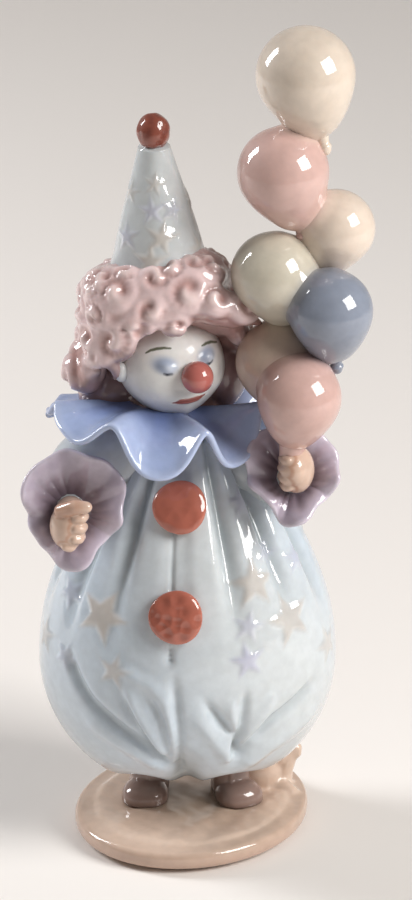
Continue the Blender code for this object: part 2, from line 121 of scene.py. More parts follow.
def srgb(red, green, blue):
    """A colour given from 0 to 255, as the linear numbers that a shader mixes."""
    picked = np.array([red, green, blue], float) / 255
    return np.where(picked <= 0.04045, picked / 12.92, ((picked + 0.055) / 1.055) ** 2.4)


def flat_paint(count, colour):
    return np.tile(colour, (count, 1))


def spray(paint, colour, strength):
    """Mixes a colour over the paint, as strongly as each point's strength from 0 to 1."""
    strength = np.clip(strength, 0, 1)[:, None]
    return paint * (1 - strength) + np.asarray(colour) * strength


# %% [markdown]
# ## One glaze in three thicknesses
#
# Clear glaze is a thin glass coat over matte colour. The Principled shader has both layers:
# a fairly rough, slightly translucent body, and a sharp coat on top. Two noises break it up.
# A slow one makes the coat flow like set syrup, so that window reflections bend a little,
# and a fine one mottles the colour as the sprayed grains of pigment do. The hair and the
# cuffs hold a deeper, wavier pool of it, and the face and ears a thin satin one.

# %% A node with its inputs


def fill_inputs(tree, node, inputs):
    """Each input takes a socket to link, or a plain value."""
    for name, value in inputs.items():
        if isinstance(value, bpy.types.NodeSocket):
            tree.links.new(value, node.inputs[name])
        else:
            node.inputs[name].default_value = value
    return node


def add_node(tree, kind, inputs=None, **settings):
    node = tree.nodes.new(kind)
    for name, value in settings.items():
        setattr(node, name, value)
    return fill_inputs(tree, node, inputs or {})


# %% Glaze material
GRAIN_SCALE = 420.0
FLOW_SCALE = 95.0
PIT_SCALE = 900.0
PIT_STRENGTH = 0.02
COAT_IOR = 1.62


def make_glaze(name, mottle=0.05, flow=0.10, coat=1.0, coat_roughness=0.012):
    material = bpy.data.materials.new(name)
    material.use_nodes = True
    tree = material.node_tree
    place = add_node(tree, "ShaderNodeTexCoord").outputs["Object"]

    def noise(scale, detail):
        inputs = {"Vector": place, "Scale": scale, "Detail": detail}
        return add_node(tree, "ShaderNodeTexNoise", inputs).outputs["Fac"]

    paint = add_node(tree, "ShaderNodeAttribute", attribute_name="paint").outputs["Color"]
    strength = add_node(tree, "ShaderNodeMapRange", {
        "Value": noise(GRAIN_SCALE, 3.0), "From Min": 0.35, "From Max": 0.65,
        "To Min": 1.0 - mottle, "To Max": 1.0 + mottle * 0.6}).outputs["Result"]
    mottled = add_node(tree, "ShaderNodeVectorMath", {0: paint, "Scale": strength},
                       operation="SCALE")
    slow = add_node(tree, "ShaderNodeBump", {
        "Strength": flow, "Distance": 0.001, "Height": noise(FLOW_SCALE, 1.0)})
    fine = add_node(tree, "ShaderNodeBump", {
        "Strength": PIT_STRENGTH, "Distance": 0.0003, "Height": noise(PIT_SCALE, 1.0),
        "Normal": slow.outputs["Normal"]})
    fill_inputs(tree, tree.nodes["Principled BSDF"], {
        "Base Color": mottled.outputs["Vector"], "Roughness": 0.5, "Specular IOR Level": 0.15,
        "Coat Weight": coat, "Coat Roughness": coat_roughness, "Coat IOR": COAT_IOR,
        "Subsurface Weight": 0.12, "Subsurface Radius": (1.0, 0.7, 0.5), "Subsurface Scale": 0.0012,
        "Normal": fine.outputs["Normal"], "Coat Normal": fine.outputs["Normal"]})
    return material


CLEAR_GLAZE = make_glaze("clear_glaze", flow=0.06)
POOLED_GLAZE = make_glaze("pooled_glaze", mottle=0.08, flow=0.16)
FACE_GLAZE = make_glaze("satin_glaze", mottle=0.04, flow=0.04, coat=0.6, coat_roughness=0.14)
print("glazes", CLEAR_GLAZE.name, POOLED_GLAZE.name, FACE_GLAZE.name)

# %% [markdown]
# ## From points to a piece
#
# Each form is a grid of points moved by a rule, so the mesh is closed and its faces all look
# outwards from the start. A ball grid has one point at each pole, and a sheet grid is rolled
# into a ring with a rounded rim, as a ruffle of clay has.

# %% Grids and pieces


def joined_rings(count, columns, start=0, inwards=False):
    """Faces between rings of points that follow each other from the point start on."""
    faces = []
    for r in range(count - 1):
        low, high = start + r * columns, start + (r + 1) * columns
        for i in range(columns):
            j = (i + 1) % columns
            faces.append((low + i, high + i, high + j, low + j) if inwards
                         else (low + i, low + j, high + j, high + i))
    return faces


def fan(middle, start, columns, inwards=False):
    """Faces from one point to the ring that begins at start."""
    faces = [(middle, start + (i + 1) % columns, start + i) for i in range(columns)]
    return [face[::-1] for face in faces] if inwards else faces


def ball_grid(columns, rows):
    """Directions over a ball, and the faces that join them."""
    turn = np.arange(columns) * 2 * np.pi / columns
    level = -np.pi / 2 + np.pi * np.arange(1, rows) / rows
    lon, lat = np.meshgrid(turn, level)
    ring = np.stack([np.cos(lon) * np.cos(lat), np.sin(lon) * np.cos(lat), np.sin(lat)], -1)
    points = np.vstack([[[0, 0, -1]], ring.reshape(-1, 3), [[0, 0, 1]]])
    faces = fan(0, 1, columns) + joined_rings(rows - 1, columns, 1)
    return points, faces + fan(len(points) - 1, 1 + (rows - 2) * columns, columns, inwards=True)


def ring_grid(rings):
    """Joins closed rings of points, stacked as [ring, column, xyz], into one torus of faces."""
    count, columns = rings.shape[:2]
    faces = []
    for r in range(count):
        s = (r + 1) % count
        for i in range(columns):
            j = (i + 1) % columns
            faces.append((r * columns + i, s * columns + i, s * columns + j, r * columns + j))
    return rings.reshape(-1, 3), faces


def piece_from(name, mesh, glaze, paint):
    """Paints and glazes a mesh that is already in metres, hangs it on the root and hides the solid.
    """
    mesh.name = name
    mesh.materials.clear()
    mesh.materials.append(glaze)
    mesh.shade_smooth()
    layer = mesh.color_attributes.new("paint", "FLOAT_COLOR", "POINT")
    rgba = np.ones((len(mesh.vertices), 4))
    rgba[:, :3] = paint
    layer.data.foreach_set("color", rgba.ravel())
    piece = bpy.data.objects.new(name, mesh)
    bpy.context.scene.collection.objects.link(piece)
    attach(piece, "root")
    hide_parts("clown_figurine")
    print(name, len(mesh.polygons), "faces")
    return piece


def make_piece(name, points, faces, glaze, paint):
    mesh = bpy.data.meshes.new(name)
    mesh.from_pydata(to_metres(points).tolist(), [], faces)
    return piece_from(name, mesh, glaze, paint)


# %% [markdown]
# ## The suit
#
# The suit is one balloon of clay: a ball below the waist and a bell that narrows to the neck.
# Its folds are the modeller's tool marks, so each is a named path over the plain form, with a
# depth and a width. A valley goes in and a ridge comes out. The folds gather at the hem of
# each leg, because that is where real cloth would be pulled together.

# %% The plain form of the suit
SUIT_MIDDLE = np.array([-0.8, 0.0, 32.5])
SUIT_HALF_WIDTH = 29.8
SUIT_HALF_DEPTH = 26.5
SUIT_DROP = 29.0
SUIT_RISE = 50.0
SUIT_NECK_SHARE = 0.30
SUIT_FRONT = -94.5
PLEATS = 14
PLEAT_DEPTH = 2.2
LEG_SPLIT_DEPTH = 3.2
LEG_SPLIT_WIDTH = 3.4
SHOE_TUCKS = (((-9.8, -7.0, 6.5), 1.6, 4.6), ((9.8, -8.0, 7.0), 2.0, 5.2))
HEM_ARCHES = ((-9.0, 4.9, 4.4), (8.2, 6.8, 4.6))


def suit_at(bearing, height):
    """Points on the plain suit at a bearing in radians and a height above its middle."""
    below = np.clip(height / SUIT_DROP, -1, 0)
    above = np.clip(height / SUIT_RISE, 0, 1) * np.pi / 2
    share = np.where(height < 0, np.sqrt(np.maximum(1 - below ** 2, 0)),
                     SUIT_NECK_SHARE + (1 - SUIT_NECK_SHARE) * np.cos(above))
    return SUIT_MIDDLE + np.stack([np.cos(bearing) * SUIT_HALF_WIDTH * share,
                                   np.sin(bearing) * SUIT_HALF_DEPTH * share,
                                   height + 0 * share], -1)


def path_over_suit(path):
    """A path of (bearing in degrees, height above the base) as close points on the suit."""
    bearings, heights = along_stops(path, 14).T
    return suit_at(np.radians(bearings), heights - SUIT_MIDDLE[2])


def near_path(points, path):
    """How far each point is from a path, and how far along the nearest place is, 0 to 1."""
    distance = np.full(len(points), 1e9)
    along = np.zeros(len(points))
    for index, stop in enumerate(path):
        reach = np.linalg.norm(points - stop, axis=1)
        closer = reach < distance
        distance[closer] = reach[closer]
        along[closer] = index / (len(path) - 1)
    return distance, along


# %% Folds: depth, width, and the path as (bearing, height) pairs
FRONT_FOLDS = (
    (-0.8, 2.0, ((-116, 40), (-112, 38), (-103, 36), (-98, 33), (-96, 28), (-95, 18))),
    (1.1, 1.3, ((-95, 39), (-94, 31), (-93, 26), (-93, 19), (-94, 13))),
    (0.9, 1.2, ((-106, 35), (-100, 29), (-98, 24), (-97, 19))),
    (-0.7, 1.6, ((-115, 37), (-110, 31), (-104, 25), (-100, 19))),
    (0.9, 1.2, ((-117, 35), (-111, 28), (-105, 22), (-101, 18))),
    (1.25, 1.7, ((-141, 40), (-142, 38), (-138, 35), (-131, 31), (-120, 27), (-111, 24),
                 (-103, 20), (-97, 17))),
    (-0.8, 2.4, ((-136, 27), (-124, 24), (-111, 20.5), (-102, 17))),
    (1.3, 1.2, ((-84, 34), (-77, 28.5), (-71, 25), (-69, 20))),
    (-0.8, 1.8, ((-88, 31), (-79, 24), (-70, 18))),
    (1.0, 1.1, ((-67, 35), (-68, 28), (-70, 20))),
    (-0.6, 1.3, ((-74, 34), (-72, 28), (-70, 22))),
    (1.3, 1.7, ((-30, 33), (-41, 30), (-54, 27), (-64, 23), (-69, 18))),
    (-0.8, 2.4, ((-24, 26), (-40, 23), (-54, 20), (-63, 16))),
    (-0.7, 2.0, ((-54, 33), (-61, 28), (-67, 22))),
    (0.5, 1.4, ((-97, 45), (-97, 41))),
)
FOLD_DEPTH = 1.0
FOLD_WIDTH = 0.80
CHEST_SEAM = (0.45, 0.45, ((-98, 67), (-97.5, 60), (-97, 54), (-96.5, 42)))


def fold_relief(points):
    """How deep the folds press into the suit: the front's own, and the same ones at the back."""
    depth = np.zeros(len(points))
    for side in (1, -1):
        for fold_depth, width, path in FRONT_FOLDS:
            turned_path = [(side * bearing, height) for bearing, height in path]
            distance, along = near_path(points, path_over_suit(turned_path))
            taper = ease(0.0, 0.3, along + 0.06) * (1 - 0.5 * ease(0.9, 1.0, along))
            depth += FOLD_DEPTH * fold_depth * mound(distance, FOLD_WIDTH * width) * taper
    seam_depth, seam_width, seam_path = CHEST_SEAM
    distance, along = near_path(points, path_over_suit(seam_path))
    return depth + seam_depth * mound(distance, seam_width)


print(len(FRONT_FOLDS), "folds on each face of the suit")

# %% [markdown]
# ## Stars in low relief
#
# The stars are cut from thin clay and pressed on, so each stands up by under half a
# millimetre with a soft edge, and is sprayed beige or lilac. A star's edge is a straight
# line from a tip to an inner corner, mirrored and turned five times, and the distance to
# that line gives both the step in the surface and the edge of the paint.

# %% Stars: bearing, height, reach, turn, colour and strength
BEIGE = srgb(196, 184, 172)
LILAC = srgb(184, 184, 208)
STARS = (
    (-128, 48.6, 5.6, 18, BEIGE, 0.75), (-119, 38.4, 3.5, 12, BEIGE, 0.6),
    (-58, 55.3, 4.8, 5, BEIGE, 0.6), (-43, 47.0, 5.6, -8, BEIGE, 0.55),
    (-66, 40.9, 3.5, -6, LILAC, 0.7), (-64, 47.6, 3.0, 20, LILAC, 0.45),
    (-150, 50.5, 3.2, 30, LILAC, 0.35), (-163, 39.6, 3.9, 0, BEIGE, 0.5),
    (-145, 38.1, 3.1, 24, LILAC, 0.3), (-28, 57.0, 3.1, 12, LILAC, 0.5),
    (-20, 38.2, 3.9, -14, BEIGE, 0.5), (-52, 69.5, 3.0, 8, LILAC, 0.45),
    (-45, 60.5, 3.0, 30, LILAC, 0.35),
    (150, 47.0, 5.4, 10, BEIGE, 0.6), (128, 57.0, 4.2, -12, LILAC, 0.5),
    (110, 42.0, 5.2, 22, BEIGE, 0.6), (84, 52.0, 4.4, 0, LILAC, 0.5),
    (62, 40.5, 5.4, 14, BEIGE, 0.6), (40, 54.5, 4.6, -18, LILAC, 0.5),
    (18, 44.0, 5.0, 8, BEIGE, 0.55), (172, 60.0, 3.6, 20, LILAC, 0.45),
    (0, 61.0, 3.6, 4, BEIGE, 0.45),
)
STAR_HEIGHT = 0.36
STAR_INNER = 0.45


def star_edge(across, up, reach, turn):
    """Distance to a star's outline in its own plane, negative inside."""
    radius = np.hypot(across, up)
    angle = np.degrees(np.arctan2(across, up)) - turn
    folded = np.radians(np.abs((angle + 36) % 72 - 36))
    tip = np.array([reach, 0.0])
    corner = reach * STAR_INNER * np.array([math.cos(math.radians(36)), math.sin(math.radians(36))])
    edge = (corner - tip) / np.linalg.norm(corner - tip)
    dx = radius * np.cos(folded) - tip[0]
    dy = radius * np.sin(folded) - tip[1]
    return dx * edge[1] - dy * edge[0]


def star_relief(points, paint, middle, outward, reach, turn, colour, strength):
    """Height and paint of one star that lies on a surface with this middle and outward side."""
    side = np.cross([0.0, 0.0, 1.0], outward)
    side /= np.linalg.norm(side)
    top = np.cross(outward, side)
    reachable = np.linalg.norm(points - middle, axis=1) < reach * 1.4
    height = np.zeros(len(points))
    local = points[reachable] - middle
    edge = star_edge(local @ side, local @ top, reach, turn)
    height[reachable] = STAR_HEIGHT * (1 - ease(-0.6, 0.4, edge))
    spread = np.zeros(len(points))
    spread[reachable] = 0.95 * strength * (1 - ease(-0.7, 0.7, edge))
    return height, spray(paint, colour, spread)


# %% Shape and paint the suit
SUIT_COLOUR = srgb(207, 213, 216)
SUIT_PAINTED_SHADE = srgb(158, 168, 172)
SUIT_BLUE = srgb(198, 210, 221)
directions, suit_faces = ball_grid(424, 202)
latitude = np.arcsin(np.clip(directions[:, 2], -1, 1))
bearing = np.arctan2(directions[:, 1], directions[:, 0])
height = np.where(latitude < 0, SUIT_DROP * np.sin(latitude), SUIT_RISE * latitude / (np.pi / 2))
plain = suit_at(bearing, height)
plain[-1, :2] = SUIT_MIDDLE[:2]
lean = plain - SUIT_MIDDLE
outward = unit_rows(lean * np.array([1, 1, 0.8]))
phase = PLEATS * (bearing - math.radians(SUIT_FRONT))
drift = 0.5 * np.sin(3 * bearing + 1.0) + 0.35 * np.sin(5 * bearing + 0.4)
wave = 0.5 + 0.5 * np.cos(phase + drift * ease(-1.4, -0.2, -np.abs(bearing + 1.65)))
pleat_strength = ease(6, 34, height) * (1 - 0.35 * ease(42, 50, height))
centre = mound(np.degrees(bearing) - SUIT_FRONT, 8)
pleats = PLEAT_DEPTH * pleat_strength * wave ** 2.6 * (1 - 0.7 * centre)
split = LEG_SPLIT_DEPTH * mound(lean[:, 0], LEG_SPLIT_WIDTH) * (1 - ease(-27, -4, height))
tucks = sum(depth * mound(np.linalg.norm(plain - np.array(ankle), axis=1), radius)
            for ankle, depth, radius in SHOE_TUCKS)
folds = fold_relief(plain)
press = pleats + split + tucks + folds
paint = flat_paint(len(plain), SUIT_COLOUR)
paint = spray(paint, SUIT_BLUE, 0.5 + 0.5 * np.sin(2.2 * bearing + 0.05 * height))
# Painted shade in the valleys of the pleats and folds.
paint = spray(paint, SUIT_PAINTED_SHADE, 0.42 * np.clip(press - 0.3, 0, 2))
# Painted shade darkening the bottom of the suit, near the base.
paint = spray(paint, SUIT_PAINTED_SHADE, 0.45 * ease(18, 4, plain[:, 2]))
raised = np.zeros(len(plain))
for star_bearing, star_height, reach, turn, colour, strength in STARS:
    middle = suit_at(math.radians(star_bearing), star_height - SUIT_MIDDLE[2])
    facing = (middle - SUIT_MIDDLE) * np.array([1, 1, 0.55])
    facing /= np.linalg.norm(facing)
    relief, paint = star_relief(plain, paint, middle, facing, reach, turn, colour, strength)
    raised += relief
suit_points = plain - outward * (press - raised)[:, None]
hem = ease(15, 5, suit_points[:, 2]) * ease(6, -4, suit_points[:, 1])
for across, lift, width in HEM_ARCHES:
    suit_points[:, 2] += lift * mound(suit_points[:, 0] - across, width) * hem
make_piece("suit", suit_points, suit_faces, CLEAR_GLAZE, paint)

# %% [markdown]
# ## Ruffles: the collar and the cuffs
#
# A ruffle is a strip of soft clay pinched into lobes. Its middle surface is a rule in two
# numbers, how far out and how far round, and the wall is built by stepping half a thickness
# to each side and closing the rim with a half round, so that light runs along the edge.

# %% Ruffled sheet


RIM_DEGREES = (67, 45, 22, 0, -22, -45, -67)


def ruffled_sheet(surface, columns, rows, thickness):
    """surface(share, angle) gives the middle of the wall; rows run from the inner edge out.

    The share outwards and the angle come back for each point too, because the paint follows them.
    """
    shares = np.linspace(0, 1, rows)
    angles = np.arange(columns) * 2 * np.pi / columns
    share_grid, angle_grid = np.meshgrid(shares, angles, indexing="ij")
    middle = surface(share_grid, angle_grid)
    along = unit_rows(np.gradient(middle, axis=0))
    around = unit_rows(np.roll(middle, -1, 1) - np.roll(middle, 1, 1))
    normal = unit_rows(np.cross(along, around))
    half = thickness / 2
    rings = [middle[r] + normal[r] * half for r in range(rows)]
    for angle in np.radians(RIM_DEGREES):
        out = normal[-1] * math.sin(angle) + along[-1] * math.cos(angle)
        rings.append(middle[-1] + half * out)
    rings += [middle[r] - normal[r] * half for r in reversed(range(rows))]
    points, faces = ring_grid(np.array(rings))
    ring_shares = np.concatenate([shares, np.ones(len(RIM_DEGREES)), shares[::-1]])
    return points, faces, np.repeat(ring_shares, columns), np.tile(angles, len(ring_shares))


# %% The collar
COLLAR_MIDDLE = np.array([-6.0, -1.5, 86.6])
COLLAR_INNER = 6.5
COLLAR_RADIUS = 21.2
COLLAR_LOBES = 8
COLLAR_WAVE = 3.7
COLLAR_SAG = 4.0
COLLAR_TILT = 6.2
COLLAR_HIGH_SIDE = -160.0
COLLAR_FIRST_LOBE = -87.0
COLLAR_BACK = -168.0
COLLAR_LOW_SIDE = 156.0
COLLAR_DROP = 5.0
COLLAR_THICKNESS = 1.25


def collar_surface(share, angle):
    turn = COLLAR_LOBES * angle
    irregular = 0.10 * np.sin(3 * angle + 0.5)
    wave = np.cos(turn + irregular) - 0.16 * np.cos(2 * turn)
    plain_bearing = degrees_from(np.degrees(angle), -COLLAR_FIRST_LOBE)
    crowding = math.radians(16) * mound(plain_bearing + 140, 35)
    bearing = np.radians(plain_bearing) - crowding + 0.03 * share * np.sin(turn)
    radius = COLLAR_INNER + (COLLAR_RADIUS + 0.5 * wave - COLLAR_INNER) * share
    behind = degrees_from(plain_bearing, COLLAR_BACK)
    size = 1 - 0.95 * mound(behind, 42)
    lift = -COLLAR_WAVE * size * wave * share ** 1.3 - COLLAR_SAG * (share * np.sin(bearing)) ** 2
    lift = lift - COLLAR_DROP * mound(degrees_from(plain_bearing, COLLAR_LOW_SIDE), 42) * share
    lift = lift + 0.35 * np.cos(3 * turn) * mound(behind, 35) * share
    curl_down = -1.2 * ease(0.75, 1.0, share) * (wave + 1)
    lift = lift + 0.4 * curl_down
    flat = np.stack([radius * np.cos(bearing), radius * np.sin(bearing), lift], -1)
    high_side = math.radians(COLLAR_HIGH_SIDE)
    hinge = Vector((math.sin(high_side), -math.cos(high_side), 0.0))
    tilt = np.array(Matrix.Rotation(math.radians(COLLAR_TILT), 3, hinge))
    return COLLAR_MIDDLE + flat @ tilt.T


COLLAR_ROWS = 26
COLLAR_COLUMNS = 420
collar_points, collar_faces, share, turn = ruffled_sheet(collar_surface, COLLAR_COLUMNS,
                                                         COLLAR_ROWS, COLLAR_THICKNESS)
paint = flat_paint(len(collar_points), srgb(168, 184, 220))
# Painted shade: darker towards the neck, under the chin.
paint = spray(paint, srgb(98, 116, 166), 0.85 * (1 - ease(0.15, 0.85, share)))
# Painted shade in the troughs of the hanging lobes, stronger towards the neck.
collar_trough_shade = ease(0.2, 1.0, np.cos(COLLAR_LOBES * turn))
paint = spray(paint, srgb(116, 136, 190), 0.6 * collar_trough_shade * (1 - 0.8 * share))
# Painted highlight: a paler line along the rim.
paint = spray(paint, srgb(196, 207, 232), 0.35 * ease(0.92, 1.0, share))
make_piece("collar", collar_points, collar_faces, CLEAR_GLAZE, paint)

# %% The cuffs: middle, the way the funnel opens, the rim's reach at eight bearings, funnel depth
CUFFS = (
    ("cuff_left", (-23.4, -14.2, 68.3), (0.05, -0.96, 0.12),
     (9.4, 12.4, 13.0, 11.8, 8.0, 7.6, 10.6, 7.7), 3.0),
    ("cuff_right", (19.8, -12.6, 74.8), (0.0, -0.86, 0.5),
     (8.6, 9.6, 10.0, 10.4, 8.4, 6.6, 9.4, 7.0), 3.2),
)
CUFF_INNER = 2.6
CUFF_WAVE = 0.9
CUFF_WAVES = 5
CUFF_THICKNESS = 1.15
CUFF_COLUMNS = 216
CUFF_ROWS = 20


def frame_along(axis, up):
    """Rows are sideways, up and along the axis."""
    along = np.array(axis, float) / np.linalg.norm(axis)
    side = np.cross(up, along)
    side /= np.linalg.norm(side)
    return np.array([side, np.cross(along, side), along])


def ring_value(values, angle):
    """A smooth value round a ring, read between evenly spaced ones."""
    place = (angle / (2 * np.pi) * len(values)) % len(values)
    first = np.floor(place).astype(int) % len(values)
    blend = (1 - np.cos(np.pi * (place - np.floor(place)))) / 2
    table = np.array(values)
    return table[first] * (1 - blend) + table[(first + 1) % len(values)] * blend


for name, middle, axis, reaches, funnel in CUFFS:
    rows_of_frame = frame_along(axis, (0, 0, 1))

    def cuff_surface(share, angle, middle=middle, reaches=reaches, funnel=funnel, to=rows_of_frame):
        reach = ring_value(reaches, angle)
        ripple = 1 + 0.015 * np.cos(11 * angle + 1) * share
        radius = (CUFF_INNER + (reach - CUFF_INNER) * share) * ripple
        wave = CUFF_WAVE * np.cos(CUFF_WAVES * angle) + 0.35 * np.cos(9 * angle + 0.7)
        crease = 0.11 * np.cos(17 * angle + 2 * np.sin(3 * angle)) * np.sin(np.pi * share)
        forward = funnel * np.sin(share * np.pi / 2) + wave * share ** 2 + crease
        local = np.stack([radius * np.cos(angle), radius * np.sin(angle), forward], -1)
        return np.array(middle) + local @ to

    cuff_points, cuff_faces, share, _ = ruffled_sheet(cuff_surface, CUFF_COLUMNS, CUFF_ROWS,
                                                      CUFF_THICKNESS)
    paint = flat_paint(len(cuff_points), srgb(188, 176, 192))
    # Painted shade deep in the funnel, round the hand.
    paint = spray(paint, srgb(112, 96, 108), 0.9 * (1 - ease(0.25, 0.95, share)))
    # Painted highlight: a paler line along the rim.
    paint = spray(paint, srgb(214, 206, 220), 0.6 * ease(0.92, 1.0, share))
    make_piece(name, cuff_points, cuff_faces, POOLED_GLAZE, paint)

# %% [markdown]
# ## Modelled in one lump: sleeves, hands, shoes, base and stump
#
# Where fingers, toes and roots run into each other, a modeller presses balls and rolls of
# clay together and wipes the joins with a wet sponge. A voxel remesh joins overlapping
# closed forms into one skin, and a few rounds of smoothing are the sponge.

# %% Lumps of clay


def ball_form(middle, half):
    points, faces = ball_grid(32, 18)
    return points * np.array(half) + np.array(middle), faces


def roll_form(stops, radii, columns=20):
    """A roll of clay through stops, rounded at both ends."""
    line = along_stops(stops, 10)
    for _ in range(12):
        line[1:-1] = (line[:-2] + 2 * line[1:-1] + line[2:]) / 4
    widths = along_stops([[radius] for radius in radii], 10)[:, 0]
    ahead = unit_rows(np.gradient(line, axis=0))
    side = unit_rows(np.cross(ahead, [[0.31, 0.22, 0.93]]))
    top = np.cross(ahead, side)
    turn = np.arange(columns) * 2 * np.pi / columns
    caps = {0: [], -1: []}
    for end, sign in ((0, -1), (-1, 1)):
        for angle in np.radians((75, 50, 25)):
            caps[end].append((line[end] + sign * ahead[end] * widths[end] * math.sin(angle),
                              widths[end] * math.cos(angle), side[end], top[end]))
    whole = caps[0] + list(zip(line, widths, side, top)) + caps[-1][::-1]
    rings = [middle + width * (np.cos(turn)[:, None] * across + np.sin(turn)[:, None] * above)
             for middle, width, across, above in whole]
    faces = joined_rings(len(rings), columns)
    faces.append(tuple(range(columns))[::-1])
    faces.append(tuple((len(rings) - 1) * columns + i for i in range(columns)))
    return np.vstack(rings), faces


def wiped(name, mesh, rounds, grain=None):
    """The mesh after rounds with the sponge, pressed into one skin first if a grain is given."""
    lump = bpy.data.objects.new(name, mesh)
    bpy.context.scene.collection.objects.link(lump)
    if grain is not None:
        remesh = lump.modifiers.new("press", "REMESH")
        remesh.mode = "VOXEL"
        remesh.voxel_size = grain * UNIT
    wipe = lump.modifiers.new("sponge", "SMOOTH")
    wipe.factor = 0.5
    wipe.iterations = rounds
    bpy.context.view_layer.update()
    graph = bpy.context.evaluated_depsgraph_get()
    smooth = bpy.data.meshes.new_from_object(lump.evaluated_get(graph))
    bpy.data.objects.remove(lump)
    return smooth


def pressed_together(name, forms, grain, sponge):
    """One closed skin over all the forms, in metres.

    grain is the voxel in figure units, and sponge the rounds of smoothing after it.
    """
    points = np.vstack([form[0] for form in forms])
    faces = []
    start = 0
    for form in forms:
        faces += [tuple(start + index for index in face) for face in form[1]]
        start += len(form[0])
    rough = bpy.data.meshes.new(name)
    rough.from_pydata(to_metres(points).tolist(), [], faces)
    return wiped(name, rough, sponge, grain)


def figure_points(mesh):
    """A mesh's points back in figure units, to work out its paint."""
    points = np.empty(len(mesh.vertices) * 3)
    mesh.vertices.foreach_get("co", points)
    points = points.reshape(-1, 3)
    points[:, 2] -= BASE_HEIGHT
    return points / UNIT


# %% The sleeves
SLEEVES = (
    ("sleeve_left", ((-10, 0, 75), (-17, -1, 75), (-21.8, -3.5, 73.6), (-23.8, -9, 71.5),
                     (-23.6, -15.5, 69)), (8.5, 7.6, 6.6, 5.2, 2.6)),
    ("sleeve_right", ((2, 0, 74), (9, -1, 73.5), (14.5, -3.5, 72.5), (18.2, -8.5, 73),
                      (19.6, -12.6, 75)), (8.5, 7.4, 6.4, 5.2, 3.2)),
)
for name, stops, radii in SLEEVES:
    mesh = pressed_together(name, [roll_form(stops, radii, 32)], grain=0.5, sponge=4)
    piece_from(name, mesh, CLEAR_GLAZE, flat_paint(len(mesh.vertices), SUIT_COLOUR))

# %% [markdown]
# ## The hands
#
# Each hand is a small fist: a ball for the palm, four rolls for the curled fingers and one
# for the thumb. They are pressed together at a fine grain, so that the creases between the
# fingers stay open, and the creases are painted darker and warmer as painted shade.

# %% The hands
SKIN = srgb(208, 180, 162)
SKIN_CREASE_SHADE = srgb(178, 128, 102)
LEFT_HAND = [ball_form((-23.9, -19.4, 67.8), (3.6, 4.0, 4.8)),
             ball_form((-23.4, -18.0, 70.6), (2.9, 3.4, 2.6))]
LEFT_FINGERS = [
    ((-22.0, -22.4, 70.6), (-21.0, -22.2, 70.5), (-20.6, -20.6, 70.3)),
    ((-22.2, -22.8, 68.5), (-21.2, -22.5, 68.3), (-20.8, -20.8, 68.2)),
    ((-22.6, -22.7, 66.3), (-21.7, -22.3, 66.1), (-21.3, -20.6, 66.0)),
    ((-24.3, -22.2, 64.6), (-23.4, -21.9, 64.2), (-22.8, -20.2, 64.3)),
]
LEFT_THUMB = [((-25.0, -21.0, 71.6), (-22.4, -22.9, 73.2), (-20.2, -23.0, 73.2))]
RIGHT_HAND = [ball_form((20.5, -16.2, 78.4), (3.5, 4.0, 4.8)),
              ball_form((20.0, -17.6, 79.0), (2.9, 3.4, 3.6))]
RIGHT_FINGERS = [
    ((18.9, -19.2, 81.3), (18.2, -18.6, 81.2), (17.8, -17.0, 81.0)),
    ((18.7, -19.6, 79.4), (18.0, -19.0, 79.3), (17.6, -17.2, 79.1)),
    ((18.7, -19.4, 77.5), (18.0, -18.8, 77.4), (17.6, -17.0, 77.2)),
    ((19.1, -18.8, 75.7), (18.4, -18.2, 75.5), (18.0, -16.6, 75.4)),
]
for name, palm, fingers, thumb in (("hand_left", LEFT_HAND, LEFT_FINGERS, LEFT_THUMB),
                                   ("hand_right", RIGHT_HAND, RIGHT_FINGERS, [])):
    rolls = [roll_form(stops, (0.95, 1.0, 0.95), 14) for stops in fingers]
    rolls += [roll_form(stops, (1.6, 1.55, 1.2), 14) for stops in thumb]
    mesh = pressed_together(name, palm + rolls, grain=0.22, sponge=6)
    points = figure_points(mesh)
    depth = np.full(len(points), 1e9)
    for stops in fingers + thumb:
        depth = np.minimum(depth, near_path(points, along_stops(stops, 4))[0])
    paint = flat_paint(len(points), SKIN)
    # Painted shade in the creases between the fingers.
    paint = spray(paint, SKIN_CREASE_SHADE, 0.6 * ease(1.1, 1.5, depth) * ease(2.1, 1.6, depth))
    piece_from(name, mesh, CLEAR_GLAZE, paint)

# %% [markdown]
# ## The shoes
#
# Each shoe is a round toe cap with a lower upper behind it that goes up under the trouser
# leg. The step between them catches a thin line of light, so the two stay separate forms in
# the same lump and get little smoothing.

